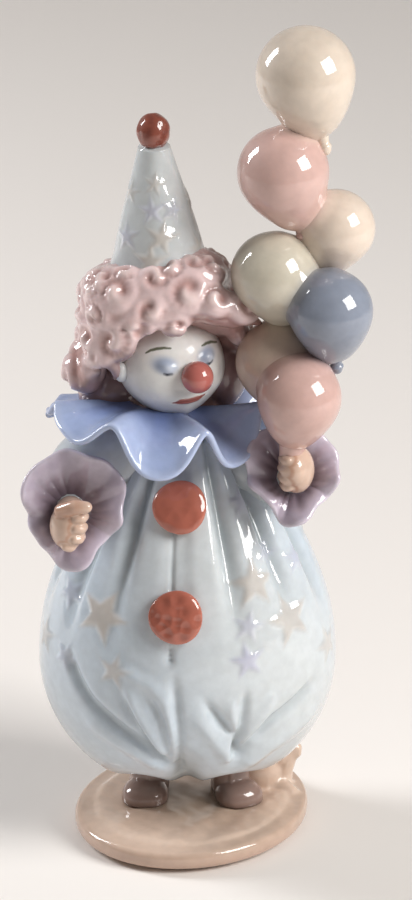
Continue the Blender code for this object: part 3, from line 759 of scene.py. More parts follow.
# %% The shoes
SHOES = (
    ("shoe_left", (-9.4, -1.6), (4.75, 4.6, 3.6), -4.0, (-8.7, 1.6), 3.55),
    ("shoe_right", (9.6, -1.8), (4.75, 4.6, 3.6), 24.0, (8.0, 1.2), 3.75),
)
SHOE = srgb(140, 116, 107)
for name, (cap_x, cap_y), cap_half, turn, (shaft_x, shaft_y), shaft_radius in SHOES:
    cap_points, cap_faces = ball_grid(48, 28)
    cap_points = np.sign(cap_points) * np.abs(cap_points) ** 0.86 * np.array(cap_half)
    cap_points[:, 2] = np.maximum(cap_points[:, 2], -0.6)
    cap = (cap_points @ turned(turn, "Z").T + np.array([cap_x, cap_y, 0.9]), cap_faces)
    heel = ball_form((shaft_x, shaft_y + 2.4, 1.2), (4.2, 4.8, 3.4))
    shaft = roll_form(((shaft_x, shaft_y, 1.5), (shaft_x, shaft_y + 0.4, 12.0)),
                      (shaft_radius, shaft_radius), 40)
    shin = shaft_y - shaft_radius
    seam = roll_form(((shaft_x, shin + 0.1, 3.5), (shaft_x + 0.2, shin + 0.4, 11.0)),
                     (0.45, 0.45), 10)
    mesh = pressed_together(name, [cap, heel, shaft, seam], grain=0.24, sponge=2)
    points = figure_points(mesh)
    paint = flat_paint(len(points), SHOE)
    # Painted shade darkening the sole where the shoe meets the base.
    paint = spray(paint, srgb(100, 80, 74), 0.7 * ease(1.4, 0.2, points[:, 2]))
    # Painted light: the upper part of the cap and the shaft a little lighter.
    paint = spray(paint, srgb(158, 134, 126), 0.35 * ease(3.0, 4.6, points[:, 2]))
    piece_from(name, mesh, CLEAR_GLAZE, paint)

# %% [markdown]
# ## The base and the stump
#
# The base is a disc thrown flat, drawn out to an oval, with a low step in from its rim. The
# broken stump behind the right foot props the figure while it is fired. Both are real sizes
# in millimetres in the solid, so the same sizes are used here, and the top gets the slow
# hand-made dips that show as wavy reflections.

# %% The base and the stump
BASE_LENGTH = 52.8
BASE_WIDTH = 46.0
RIM_HEIGHT = 4.4
STEP_HEIGHT = 0.6
STEP_INSET = 4.2
FOOT_ROUND = 0.8
BASE_TURN = 62.0
STUMP_ROLLS = (
    (((14.5, 12.5, 1.0), (15.2, 10.8, 3.6), (16.4, 9.6, 6.5), (16.6, 8.6, 9.0)),
     (5.2, 4.6, 3.6, 3.0)),
    (((17.5, 8.0, -1.0), (18.5, 7.2, 2.5), (19.8, 7.0, 6.5), (20.2, 7.0, 10.6)),
     (3.4, 2.2, 2.0, 1.4)),
    (((18.6, 7.4, 6.0), (15.5, 8.5, 5.0), (12.5, 10.0, 2.5), (10.5, 11.0, -0.5)),
     (1.7, 1.9, 2.3, 2.6)),
    (((19.8, 7.0, 5.6), (21.4, 6.4, 6.6)), (1.6, 1.1)),
    (((17.5, 5.6, -0.6), (20.5, 3.0, -0.9)), (2.4, 1.4)),
    (((13.0, 14.0, 0.4), (11.0, 19.0, -1.0)), (3.0, 1.8)),
)
STUMP_BALLS = (((20.3, 7.0, 11.2), (1.35, 1.35, 1.35)), ((13.5, 8.5, 2.6), (5.6, 6.0, 6.4)),
               ((17.6, 6.6, 6.4), (2.6, 2.2, 2.6)), ((21.2, 6.6, 7.6), (1.4, 1.4, 1.2)))

radius = BASE_LENGTH / 2
round_radius = (RIM_HEIGHT - FOOT_ROUND) / 2
profile = [(0.0, RIM_HEIGHT + STEP_HEIGHT), (radius - STEP_INSET - 1.0, RIM_HEIGHT + STEP_HEIGHT)]
profile.append((radius - STEP_INSET, RIM_HEIGHT + 0.1))
for degrees in range(90, -91, -15):
    angle = math.radians(degrees)
    around, up = math.cos(angle) ** 0.6, math.copysign(abs(math.sin(angle)) ** 0.75, angle)
    profile.append((radius - round_radius * (1 - around), FOOT_ROUND + round_radius * (1 + up)))
profile += [(radius - round_radius - FOOT_ROUND, 0.0), (0.0, 0.0)]
BASE_COLUMNS = 160
turn = np.arange(BASE_COLUMNS) * 2 * np.pi / BASE_COLUMNS
rings = [np.stack([reach * np.cos(turn), reach * BASE_WIDTH / BASE_LENGTH * np.sin(turn),
                   np.full(BASE_COLUMNS, level)], -1) for reach, level in profile[1:-1]]
disc = np.vstack([[[0, 0, profile[0][1]]]] + rings + [[[0, 0, 0.0]]])
spin = turned(BASE_TURN, "Z")
disc = disc @ spin.T * MM / UNIT - np.array([0, 0, BASE_HEIGHT / UNIT])
disc_faces = fan(0, 1, BASE_COLUMNS, inwards=True)
disc_faces += joined_rings(len(rings), BASE_COLUMNS, 1, inwards=True)
disc_faces += fan(len(disc) - 1, 1 + (len(rings) - 1) * BASE_COLUMNS, BASE_COLUMNS)
stump = [roll_form(stops, radii, 24) for stops, radii in STUMP_ROLLS]
stump += [ball_form(middle, half) for middle, half in STUMP_BALLS]
mesh = pressed_together("base", [(disc, disc_faces)] + stump, grain=0.42, sponge=4)
points = figure_points(mesh)
dips = (0.18 * np.sin(0.33 * points[:, 0] + 0.8) * np.sin(0.41 * points[:, 1] + 0.3)
        + 0.10 * np.sin(0.8 * points[:, 0] - 0.5 * points[:, 1])
        + 0.05 * np.sin(1.5 * points[:, 0] + 0.7 * points[:, 1] + np.sin(0.9 * points[:, 1])))
on_top = ease(-0.8, -0.3, points[:, 2])
for point, dip in zip(mesh.vertices, dips * on_top):
    point.co.z += dip * UNIT
rim = np.hypot(points @ spin[:, 0] / BASE_LENGTH, points @ spin[:, 1] / BASE_WIDTH) * 2 * UNIT / MM
paint = flat_paint(len(points), srgb(198, 172, 154))
# Painted light: a lighter band round the outer part of the top.
paint = spray(paint, srgb(222, 198, 180), 0.7 * ease(0.55, 0.85, rim) * on_top)
shade_under_suit = mound(np.hypot(points[:, 0], points[:, 1] + 3), 8)
light_in_front = mound(np.hypot(points[:, 0] + 3, points[:, 1] + 14), 9)
# Painted shade on the top under the suit, between the shoes.
paint = spray(paint, srgb(158, 138, 116), 0.55 * shade_under_suit * on_top)
# Painted shade: the side below the top a little darker.
paint = spray(paint, srgb(192, 160, 142), 0.6 * ease(-0.6, -3.0, points[:, 2]))
# Painted light on the top in front of the figure.
paint = spray(paint, srgb(216, 194, 178), 0.4 * light_in_front)
piece_from("base", mesh, CLEAR_GLAZE, paint)

# %% [markdown]
# ## The head
#
# The head is a ball that looks along -Y before it is turned, nodded and leaned. The face is
# a doll's: shallow eye hollows, closed lids like half peas, a small pursed mouth. Every
# feature is a place on the unit ball, (sideways, up), so relief and paint share one list.

# %% The head's frame and features
HEAD_MIDDLE = np.array([-3.9, -3.0, 95.8])
HEAD_RADIUS = 10.3
HEAD_YAW = 27.0
HEAD_PITCH = 3.0
HEAD_ROLL = 5.0
HEAD_TURN = turned(HEAD_YAW, "Z") @ turned(HEAD_PITCH, "X") @ turned(-HEAD_ROLL, "Y")
LIDS = ((-0.47, 0.335), (0.37, 0.350))
LASHES = (((-0.54, 0.205), (-0.50, 0.190), (-0.42, 0.195)),
          ((0.30, 0.235), (0.37, 0.215), (0.46, 0.235)))
CHEEKS = ((-0.62, -0.28), (0.55, -0.26))
BROWS = (((-0.72, 0.54), (-0.64, 0.595), (-0.54, 0.63), (-0.43, 0.645), (-0.32, 0.635)),
         ((0.30, 0.555), (0.42, 0.555), (0.56, 0.52), (0.74, 0.42)))
MOUTH = ((-0.39, -0.425), (-0.27, -0.405), (-0.12, -0.425), (0.06, -0.415), (0.23, -0.385))


def on_face(path):
    """A path of (sideways, up) on the unit ball's front as close 3-D points."""
    x, z = along_stops(path, 12).T
    return np.stack([x, -np.sqrt(np.maximum(1 - x * x - z * z, 0)), z], -1)


# %% Shape and paint the head
directions, head_faces = ball_grid(336, 210)
front = ease(0.1, -0.5, directions[:, 1])
side, level = directions[:, 0], directions[:, 2]
cheeks = 0.03 * mound(level + 0.35, 0.3) * np.abs(side)
jaw = 0.05 * ease(-0.1, -0.8, level) * np.abs(side)
bulge = np.zeros(len(directions))
for x, z in LIDS:
    bulge -= 0.040 * mound(np.hypot((side - x) / 1.2, level - z - 0.02), 0.24)
    bulge += 0.100 * mound(np.hypot((side - x) / 1.30, level - z + 0.01), 0.115)
for x, z in CHEEKS:
    bulge += 0.028 * mound(np.hypot(side - x, level - z), 0.26)
bulge += 0.030 * mound(np.hypot(side + 0.09, level + 0.76), 0.16)
bulge += 0.018 * mound(level - 0.56, 0.12) * ease(0.9, 0.3, np.abs(side))
mouth_reach, mouth_along = near_path(directions, on_face(MOUTH))
lip_taper = ease(0.0, 0.3, mouth_along) * (1 - ease(0.72, 1.0, mouth_along))
mouth_line = np.interp(side, [p[0] for p in MOUTH], [p[1] for p in MOUTH])
bulge += 0.034 * mound(mouth_reach, 0.085) * (0.3 + 0.7 * lip_taper)
bulge -= 0.020 * mound(level - mouth_line, 0.014) * mound(mouth_reach, 0.06)
lash_reach = np.minimum(near_path(directions, on_face(LASHES[0]))[0],
                        near_path(directions, on_face(LASHES[1]))[0])
bulge -= 0.012 * mound(lash_reach, 0.024)
head_points = directions * (HEAD_RADIUS * (1 + cheeks - jaw + front * bulge))[:, None]
head_points[:, 2] *= 1 + 0.05 * ease(-0.2, -0.9, level)
paint = flat_paint(len(directions), srgb(236, 235, 233))
# Painted shade on the lower face, towards the viewer's left.
paint = spray(paint, srgb(206, 206, 200), 0.5 * mound(np.hypot(side + 0.30, level + 0.15), 0.35))
for (x, z), lash in zip(LIDS, LASHES):
    lid = ease(0.25, 0.08, np.hypot((side - x + 0.02) / 1.20, (level - z - 0.02) / 0.90))
    paint = spray(paint, srgb(150, 166, 194), 0.85 * lid * front)
    # Painted highlight: a paler spot on each lid's dome.
    pale = mound(np.hypot(side - x - 0.04, level - z + 0.04), 0.09)
    paint = spray(paint, srgb(214, 220, 230), 0.7 * pale * front)
    reach, along = near_path(directions, on_face(lash))
    fading = 1 - 0.4 * np.abs(2 * along - 1)
    paint = spray(paint, srgb(46, 48, 62), ease(0.038, 0.018, reach) * fading)
for brow in BROWS:
    reach, along = near_path(directions, on_face(brow))
    thin = 0.028 * (0.55 + 0.45 * np.sin(np.pi * along))
    paint = spray(paint, srgb(72, 78, 44), 0.9 * ease(1.4, 0.7, reach / thin))
lips = ease(0.082, 0.062, mouth_reach / (0.30 + 0.70 * lip_taper))
paint = spray(paint, srgb(158, 82, 70), 0.95 * lips * front)
paint = spray(paint, srgb(120, 50, 42), 0.7 * mound(level - mouth_line, 0.012) * lips)
make_piece("head", head_points @ HEAD_TURN.T + HEAD_MIDDLE, head_faces,
           FACE_GLAZE, paint)

# %% The nose and the ears
NOSE_PLACE = np.array([0.0, -11.5, 1.2])
NOSE_RADIUS = 3.15
nose_points, nose_faces = ball_grid(96, 60)
paint = flat_paint(len(nose_points), srgb(180, 102, 94))
# Painted shade on the side of the nose that faces the head.
paint = spray(paint, srgb(146, 76, 70), 0.6 * ease(0.0, 0.9, nose_points[:, 1]))
nose_points = nose_points * NOSE_RADIUS + NOSE_PLACE
make_piece("nose", nose_points @ HEAD_TURN.T + HEAD_MIDDLE, nose_faces,
           CLEAR_GLAZE, paint)

EAR_PLACE = np.array([10.9, -0.3, 0.6])
EAR_HALF = np.array([1.5, 1.3, 2.0])
for side_name, sign in (("ear_right", -1), ("ear_left", 1)):
    ear_points, ear_faces = ball_grid(64, 40)
    dish = (mound(np.hypot(ear_points[:, 1] + 0.2, ear_points[:, 2] - 0.15), 0.42)
            * ease(0, 0.5, sign * ear_points[:, 0]))
    ear_points = ear_points * EAR_HALF * (1 - 0.35 * dish)[:, None]
    ear_points = ear_points + EAR_PLACE * np.array([sign, 1, 1])
    # Painted shade in the ear's hollow.
    paint = spray(flat_paint(len(ear_points), srgb(220, 222, 222)), srgb(190, 190, 194), 0.6 * dish)
    make_piece(side_name, ear_points @ HEAD_TURN.T + HEAD_MIDDLE, ear_faces,
               FACE_GLAZE, paint)

# %% [markdown]
# ## The hair
#
# The hair is a mop of soft curls, no two alike. A modeller would press small rolled commas
# of clay onto the mass, then push a hollow beside each and wipe it all with a wet brush. The
# commas repeat, so Geometry Nodes lay them: each point carries its outward side, its turn
# and its size. Then one rule swells a dome round every curl and sinks its comma hollow.

# %% The mass of hair, without its curls
HAIR_MIDDLE = np.array([-5.3, 1.0, 101.6])
HAIR_HALF = np.array([18.6, 16.5, 14.0])
HAIR_ROLL = 4.5
HAIR_BOXINESS = 2.6
HAIR_BACK_DROP = 0.26
OPENING_BEARING = -73.0
OPENING_DROP = -30.0
OPENING_ANGLE = 47.0
OPENING_WIDENS = 0.9
OPENING_DEPTH = 0.62
HAIR_TURN = turned(-HAIR_ROLL, "Y")


def way_of(bearing, elevation):
    """The unit direction at a bearing and an elevation in degrees."""
    around, up = math.radians(bearing), math.radians(elevation)
    flat = math.cos(up)
    return np.array([math.cos(around) * flat, math.sin(around) * flat, math.sin(up)])


OPENING = way_of(OPENING_BEARING, OPENING_DROP)


def opening_reach(points):
    """Degrees outside the edge of the face opening; negative over the face."""
    way = unit_rows(points)
    below = np.maximum(-np.degrees(np.arcsin(np.clip(way[:, 2], -1, 1))), 0)
    brow = 5.0 * mound(np.degrees(np.arctan2(way[:, 1], way[:, 0])) + 108, 18)
    reach = np.degrees(np.arccos(np.clip(way @ OPENING, -1, 1)))
    return reach - OPENING_ANGLE - brow - OPENING_WIDENS * below


def hair_at(directions, inset):
    """Points on the mass of hair, and their outward sides, before the middle is added."""
    total = np.sum(np.abs(directions / HAIR_HALF) ** HAIR_BOXINESS, axis=1)
    points = directions * total[:, None] ** (-1 / HAIR_BOXINESS)
    away = np.sign(points) * np.abs(points) ** (HAIR_BOXINESS - 1) / HAIR_HALF ** HAIR_BOXINESS
    points = points - unit_rows(points) * inset
    points[:, 2] -= HAIR_BACK_DROP * np.maximum(points[:, 1] - 2, 0) * ease(0, 9, points[:, 2])
    return points @ HAIR_TURN.T, unit_rows(away) @ HAIR_TURN.T


# %% [markdown]
# Round the hat the mass stands up in a boxy crown, which draws in below so that it runs into
# the mass without a ledge. It is rolled and pitched with the hat.

# %% The crown, and its curls by bearing, elevation and size
CROWN_MIDDLE = np.array([-6.0, 0.6, 106.4])
CROWN_HALF = np.array([14.8, 14.6, 9.5])
CROWN_BOXINESS = 0.6
CROWN_TURN = turned(-8, "Y") @ turned(-15, "X")
CROWN_DEPTH = 4.6
CROWN_DRAWN_IN = 0.012
CROWN_CURLS = ((-128, 40, 1.0), (-104, 44, 0.8), (-84, 40, 0.95), (-58, 46, 0.9),
               (-30, 40, 1.1), (-2, 44, 1.0), (30, 40, 1.1), (62, 44, 1.0),
               (96, 40, 1.1), (130, 44, 1.0), (164, 40, 1.1), (-156, 44, 0.95))


def crown_at(ways):
    """Points on the crown of hair, in figure units."""
    boxy = np.sign(ways) * np.abs(ways) ** CROWN_BOXINESS * CROWN_HALF
    boxy[:, 2] = np.maximum(boxy[:, 2], -CROWN_DEPTH)
    boxy[:, :2] *= (1 - CROWN_DRAWN_IN * np.minimum(boxy[:, 2], 0) ** 2)[:, None]
    return CROWN_MIDDLE + boxy @ CROWN_TURN.T


# %% [markdown]
# The curls that the front shows have listed places. The rest are spread evenly round the
# mass by the golden angle, nudged a little, and left out where a listed one sits, over the
# face, or on the ear.

# %% Where the curls sit: bearing, elevation, turn and size of those that the front shows
CURL_COUNT = 90
CURLS_SEEN = (
    (-145, 38, 100, 1.0), (-122, 40, 20, 1.15), (-126, 9, 140, 1.2), (-110, 20, 300, 0.95),
    (-68, 38, 60, 1.25), (-92, 50, 200, 1.0), (-138, 24, 250, 0.9), (-148, 6, 30, 1.0),
    (-50, 30, 330, 1.0), (-34, 20, 170, 1.05), (-38, 48, 90, 0.9), (-97, 31, 110, 1.0),
    (-142, -12, 220, 1.15), (-166, 20, 60, 1.0), (-78, 20, 20, 0.8),
)
CURL_SPACING = 0.28
CURL_INSET = 2.3
EAR_CLEAR = 4.4

golden = math.pi * (3 - math.sqrt(5))
order = np.arange(CURL_COUNT)
rise = 1 - 2 * (order + 0.5) / CURL_COUNT
rng = np.random.default_rng(7)
spots = np.stack([np.sqrt(1 - rise ** 2) * np.cos(golden * order),
                  np.sqrt(1 - rise ** 2) * np.sin(golden * order), rise], -1)
spots = unit_rows(spots + rng.normal(0, 0.05, spots.shape))
seen = np.array([way_of(curl[0], curl[1]) for curl in CURLS_SEEN])
spots = spots[np.min(np.linalg.norm(spots[:, None] - seen[None], axis=2), axis=1) > CURL_SPACING]
turns = np.concatenate([rng.uniform(0, 360, len(spots)), [curl[2] for curl in CURLS_SEEN]])
sizes = np.concatenate([rng.uniform(0.8, 1.3, len(spots)), [curl[3] for curl in CURLS_SEEN]])
leans = np.vstack([rng.normal(0, 0.38, spots.shape), np.zeros(seen.shape)])
spots = np.vstack([spots, seen])
curl_points, curl_outward = hair_at(spots, CURL_INSET)
ear_middle = HEAD_MIDDLE + HEAD_TURN @ (EAR_PLACE * np.array([-1, 1, 1])) - HAIR_MIDDLE
keep = opening_reach(curl_points) > -1.0
keep &= np.linalg.norm(curl_points - ear_middle, axis=1) > EAR_CLEAR
crown_ways = np.array([way_of(curl[0], curl[1]) for curl in CROWN_CURLS])
crown_spots = crown_at(crown_ways) - 1.2 * crown_ways - HAIR_MIDDLE
curl_leans = np.vstack([unit_rows(curl_outward[keep] + leans[keep]), crown_ways])
curl_points = np.vstack([curl_points[keep], crown_spots])
curl_outward = np.vstack([curl_outward[keep], crown_ways])
turns = np.concatenate([turns[keep], [curl[0] * 2.7 % 360 for curl in CROWN_CURLS]])
sizes = np.concatenate([sizes[keep], [curl[2] for curl in CROWN_CURLS]])
print(len(curl_points), "curls")

# %% Geometry Nodes helpers


def new_tree(name, sockets):
    """An empty tree with these inputs, and a Geometry output."""
    tree = bpy.data.node_groups.new(name, "GeometryNodeTree")
    for label, kind in sockets:
        tree.interface.new_socket(label, in_out="INPUT", socket_type="NodeSocket" + kind)
    tree.interface.new_socket("Geometry", in_out="OUTPUT", socket_type="NodeSocketGeometry")
    return tree


def calculate(tree, operation, *values):
    """A Math node over sockets or plain numbers."""
    return add_node(tree, "ShaderNodeMath", dict(enumerate(values)), operation=operation).outputs[0]


def point_value(tree, name, kind):
    return add_node(tree, "GeometryNodeInputNamedAttribute", {"Name": name},
                    data_type=kind).outputs["Attribute"]


def finish_tree(tree, geometry, material):
    """Turns instances into real mesh, gives it the glaze and sends it out."""
    realize = add_node(tree, "GeometryNodeRealizeInstances", {"Geometry": geometry})
    paint = add_node(tree, "GeometryNodeSetMaterial", {"Geometry": realize.outputs["Geometry"],
                                                       "Material": material})
    add_node(tree, "NodeGroupOutput", {"Geometry": paint.outputs["Geometry"]})
    return tree


def grown(name, mesh, tree, values):
    """The mesh that a tree makes from another mesh and these values."""
    holder = bpy.data.objects.new(name, mesh)
    bpy.context.scene.collection.objects.link(holder)
    growth = holder.modifiers.new(name, "NODES")
    growth.node_group = tree
    for item in tree.interface.items_tree:
        if item.item_type == "SOCKET" and item.in_out == "INPUT" and item.name in values:
            growth[item.identifier] = values[item.name]
    bpy.context.view_layer.update()
    graph = bpy.context.evaluated_depsgraph_get()
    result = bpy.data.meshes.new_from_object(holder.evaluated_get(graph))
    bpy.data.objects.remove(holder)
    return result


# %% The curl tree: a tapered spiral strand on every point
CURL_VALUES = {"Turns": 0.9, "Inner Radius": 1.3, "Outer Radius": 3.2, "Rise": -1.6, "Strand": 1.35}


def make_curl_tree():
    sockets = [("Geometry", "Geometry")] + [(name, "Float") for name in CURL_VALUES]
    tree = new_tree("curls", sockets + [("Material", "Material")])
    start = tree.nodes.new("NodeGroupInput").outputs
    spiral = add_node(tree, "GeometryNodeCurveSpiral", {
        "Resolution": 20, "Rotations": start["Turns"], "Start Radius": start["Inner Radius"],
        "End Radius": start["Outer Radius"], "Height": start["Rise"]})
    strand = add_node(tree, "GeometryNodeCurvePrimitiveCircle", {"Resolution": 10,
                                                                 "Radius": start["Strand"]})
    along = tree.nodes.new("GeometryNodeSplineParameter").outputs["Factor"]
    middle_bulge = calculate(tree, "SINE", calculate(tree, "MULTIPLY", along, math.pi))
    taper = calculate(tree, "ADD", calculate(tree, "MULTIPLY", middle_bulge, 0.75), 0.25)
    roll = add_node(tree, "GeometryNodeCurveToMesh", {
        "Curve": spiral.outputs["Curve"], "Profile Curve": strand.outputs["Curve"],
        "Scale": taper, "Fill Caps": True})
    stand = add_node(tree, "FunctionNodeAlignRotationToVector",
                     {"Vector": point_value(tree, "outward", "FLOAT_VECTOR")}, axis="Z")
    spin = add_node(tree, "FunctionNodeAxisAngleToRotation",
                    {"Axis": (0, 0, 1), "Angle": point_value(tree, "turn", "FLOAT")})
    twist = add_node(tree, "FunctionNodeRotateRotation", {
        "Rotation": stand.outputs["Rotation"], "Rotate By": spin.outputs["Rotation"]},
        rotation_space="LOCAL")
    place = add_node(tree, "GeometryNodeInstanceOnPoints", {
        "Points": start["Geometry"], "Instance": roll.outputs["Mesh"],
        "Rotation": twist.outputs["Rotation"], "Scale": point_value(tree, "size", "FLOAT")})
    return finish_tree(tree, place.outputs["Instances"], start["Material"])


seeds = bpy.data.meshes.new("curl_places")
seeds.from_pydata((curl_points + HAIR_MIDDLE).tolist(), [], [])
for name, kind, field, values in (("outward", "FLOAT_VECTOR", "vector", curl_leans.ravel()),
                                  ("turn", "FLOAT", "value", np.radians(turns)),
                                  ("size", "FLOAT", "value", sizes)):
    seeds.attributes.new(name, kind, "POINT").data.foreach_set(field, values)
curls = grown("curl_places", seeds, make_curl_tree(), {**CURL_VALUES, "Material": POOLED_GLAZE})
curl_form = (np.array([v.co[:] for v in curls.vertices]),
             [tuple(f.vertices) for f in curls.polygons])
print("curls", len(curl_form[1]), "faces")

# %% Press the curls onto the mass, with the nape, the locks by the cheeks and the crown
# Balls by middle and half size: the nape, the lock by the viewer's left cheek, the hair behind
# it, and the hair behind the other ear. A roll makes the lock that points at the balloons.
LOCK_BALLS = (((-5.0, 3.5, 84.2), (12.5, 11.0, 7.0)), ((-20.3, -2.5, 94.2), (4.2, 6.5, 5.2)),
              ((-15.5, 2.5, 89.0), (8.0, 8.0, 6.5)), ((6.5, 3.0, 92.0), (5.0, 7.0, 8.0)))
LOCK_STOPS = ((4.0, -9.6, 109.4), (9.4, -8.4, 107.8), (13.4, -7.0, 105.2))
LOCK_RADII = (4.2, 3.9, 1.3)
CORE_INSET = 1.9
core_ways, core_faces = ball_grid(120, 72)
core, _ = hair_at(core_ways, CORE_INSET)
inside = ease(5, -5, opening_reach(core))
core = HAIR_MIDDLE + core * (1 - OPENING_DEPTH * inside)[:, None]
locks = [ball_form(middle, half) for middle, half in LOCK_BALLS]
locks.append(roll_form(LOCK_STOPS, LOCK_RADII, 24))
crown_grid, crown_faces = ball_grid(96, 60)
locks.append((crown_at(crown_grid), crown_faces))
mesh = pressed_together("hair", [(core, core_faces), curl_form] + locks, grain=0.40, sponge=6)

# %% Swell a dome round each curl, and sink its comma hollow
points = figure_points(mesh)
normals = np.empty(len(mesh.vertices) * 3)
mesh.vertices.foreach_get("normal", normals)
normals = normals.reshape(-1, 3)
DOME = 1.3
DOME_SHARPNESS = 5.0
DOME_RADIUS = 3.9
HOLLOW = 1.35
COMMA_SWEEP = 250.0
ways = unit_rows(points - HAIR_MIDDLE)
nearest = [int(np.argmax(ways @ way)) for way in unit_rows(curl_points)]
curl_spots, curl_outward = points[nearest], unit_rows(normals[nearest] + curl_outward)
domes = np.zeros(len(points))
hollows = np.zeros(len(points))
for spot, outward, turn_degrees, size in zip(curl_spots, curl_outward, turns, sizes):
    reach = np.linalg.norm(points - spot, axis=1) / (DOME_RADIUS * size)
    domes += np.exp(DOME_SHARPNESS * np.clip(1 - reach ** 2, -3, 1))
    close = reach < 1.6
    curl_rows = frame_along(outward, (0.02, 0.03, 1.0))
    for share in np.linspace(0, 1, 11):
        angle = math.radians(turn_degrees + COMMA_SWEEP * share)
        radius = size * (1.1 + 1.5 * share)
        arc = spot + radius * (math.cos(angle) * curl_rows[0] + math.sin(angle) * curl_rows[1])
        width = size * (1.05 - 0.45 * share)
        press = (1 - 0.45 * share) * mound(np.linalg.norm(points[close] - arc, axis=1), width)
        hollows[close] = np.maximum(hollows[close], press)
swell = np.log(domes + 1e-6) / DOME_SHARPNESS
outer = ease(-8, 2, opening_reach(points - HAIR_MIDDLE))
rise = (DOME * np.clip(swell, -0.6, 1) - HOLLOW * hollows) * (0.25 + 0.75 * outer)
points += normals * rise[:, None]
mesh.vertices.foreach_set("co", to_metres(points).ravel())
mesh.update()
mesh = wiped("hair", mesh, 2)
paint = flat_paint(len(points), srgb(224, 199, 199))
# Painted shade in the hollows and low places between the curls.
paint = spray(paint, srgb(172, 126, 118), 0.75 * ease(0.35, -0.35, swell) + 0.8 * hollows)
# Painted highlight on the tops of the domes.
paint = spray(paint, srgb(236, 217, 214), 0.6 * ease(0.45, 0.95, swell - 0.8 * hollows))
shade = np.maximum(ease(91, 84, points[:, 2]), ease(2, -6, opening_reach(points - HAIR_MIDDLE)))
paint = spray(paint, srgb(122, 98, 98), 0.75 * shade)
piece_from("hair", mesh, POOLED_GLAZE, paint)

# %% [markdown]
# ## The hat and the pompom
#
# The hat is a cone with a slight flare where it is pressed on the hair, a few faint stars
# down its front, and a pompom like a raspberry on its tip.

# %% The hat
HAT_FOOT = np.array([-6.0, 0.6, 111.0])
HAT_TIP = np.array([-7.1, -0.2, 139.0])
HAT_FOOT_RADIUS = 11.0
HAT_TIP_RADIUS = 3.1
HAT_STARS = (
    (-92, 0.78, 2.0, 10, BEIGE, 0.4), (-98, 0.60, 2.4, -8, LILAC, 0.5),
    (-84, 0.42, 3.0, 14, BEIGE, 0.55), (-100, 0.26, 3.2, 0, BEIGE, 0.5),
    (-60, 0.60, 2.4, 20, LILAC, 0.35), (-140, 0.40, 2.8, -12, LILAC, 0.4),
    (-150, 0.70, 2.0, 0, BEIGE, 0.35), (150, 0.5, 2.8, 8, BEIGE, 0.5),
    (110, 0.3, 3.0, -6, LILAC, 0.5), (80, 0.65, 2.4, 12, BEIGE, 0.5),
    (40, 0.4, 2.9, 0, LILAC, 0.45), (0, 0.62, 2.3, 10, BEIGE, 0.4),
    (-25, 0.3, 2.9, -10, BEIGE, 0.4),
)
HAT_RIPPLE = 0.22
GLOSSY_BEARING = -58.0
HAT_COLUMNS = 208
HAT_ROWS = 140
hat_rows = frame_along(HAT_TIP - HAT_FOOT, (0, 1, 0))
hat_length = np.linalg.norm(HAT_TIP - HAT_FOOT)
share = np.linspace(0, 1, HAT_ROWS)
turn = np.arange(HAT_COLUMNS) * 2 * np.pi / HAT_COLUMNS
share_grid, turn_grid = np.meshgrid(share, turn, indexing="ij")
width = HAT_FOOT_RADIUS + (HAT_TIP_RADIUS - HAT_FOOT_RADIUS) * share_grid
width = width + 0.7 * mound(share_grid, 0.10) - 0.25 * mound(share_grid - 0.22, 0.15)
width = width + 0.16 * np.cos(5 * turn_grid + 1.3) * (1 - share_grid) ** 0.5
glossy_side = mound(degrees_from(np.degrees(turn_grid), GLOSSY_BEARING), 28)
ripple = np.cos(20 * share_grid + 1.6 * np.cos(2 * turn_grid)) * ease(1.0, 0.85, share_grid)
width = width + HAT_RIPPLE * ripple * glossy_side
cone = (HAT_FOOT + (width * np.cos(turn_grid))[..., None] * hat_rows[0]
        + (width * np.sin(turn_grid))[..., None] * hat_rows[1]
        + (share_grid * hat_length)[..., None] * hat_rows[2])
cone = np.vstack([cone.reshape(-1, 3), [HAT_FOOT], [HAT_TIP + hat_rows[2] * 0.6]])
hat_faces = joined_rings(HAT_ROWS, HAT_COLUMNS)
hat_faces += fan(len(cone) - 1, (HAT_ROWS - 1) * HAT_COLUMNS, HAT_COLUMNS, inwards=True)
hat_faces += fan(len(cone) - 2, 0, HAT_COLUMNS)
risen = (cone - HAT_FOOT) @ hat_rows[2]
outward = unit_rows(cone - HAT_FOOT - np.outer(risen, hat_rows[2]))
paint = flat_paint(len(cone), srgb(203, 208, 210))
# The paint is darker and bluer towards the foot.
paint = spray(paint, srgb(182, 192, 198), 0.5 * ease(0.35, 0.0, risen / hat_length))
raised = np.zeros(len(cone))
for star_bearing, level, reach, star_turn, colour, strength in HAT_STARS:
    way = way_of(star_bearing, 0)
    reach_out = HAT_FOOT_RADIUS + (HAT_TIP_RADIUS - HAT_FOOT_RADIUS) * level
    middle = HAT_FOOT + hat_rows[2] * hat_length * level + way * reach_out
    relief, paint = star_relief(cone, paint, middle, way, reach, star_turn, colour, 1.1 * strength)
    raised += 0.7 * relief
make_piece("hat", cone + outward * raised[:, None], hat_faces, CLEAR_GLAZE, paint)

# %% The pompom and the buttons
POMPOM_HALF = np.array([3.25, 3.25, 3.6])
POMPOM_RISE = 3.0
TERRACOTTA = srgb(172, 98, 80)
TERRACOTTA_SHADE = srgb(130, 66, 52)
POMPOM_RED = srgb(142, 76, 60)


def hammered(directions, seed, count, width):
    """Shallow round dents spread over a form, as from a small ball tool."""
    places = unit_rows(np.random.default_rng(seed).normal(size=(count, 3)))
    return sum(mound(np.linalg.norm(directions - place, axis=1), width) for place in places)


pompom_points, pompom_faces = ball_grid(96, 60)
dents = hammered(pompom_points, 3, 46, 0.19)
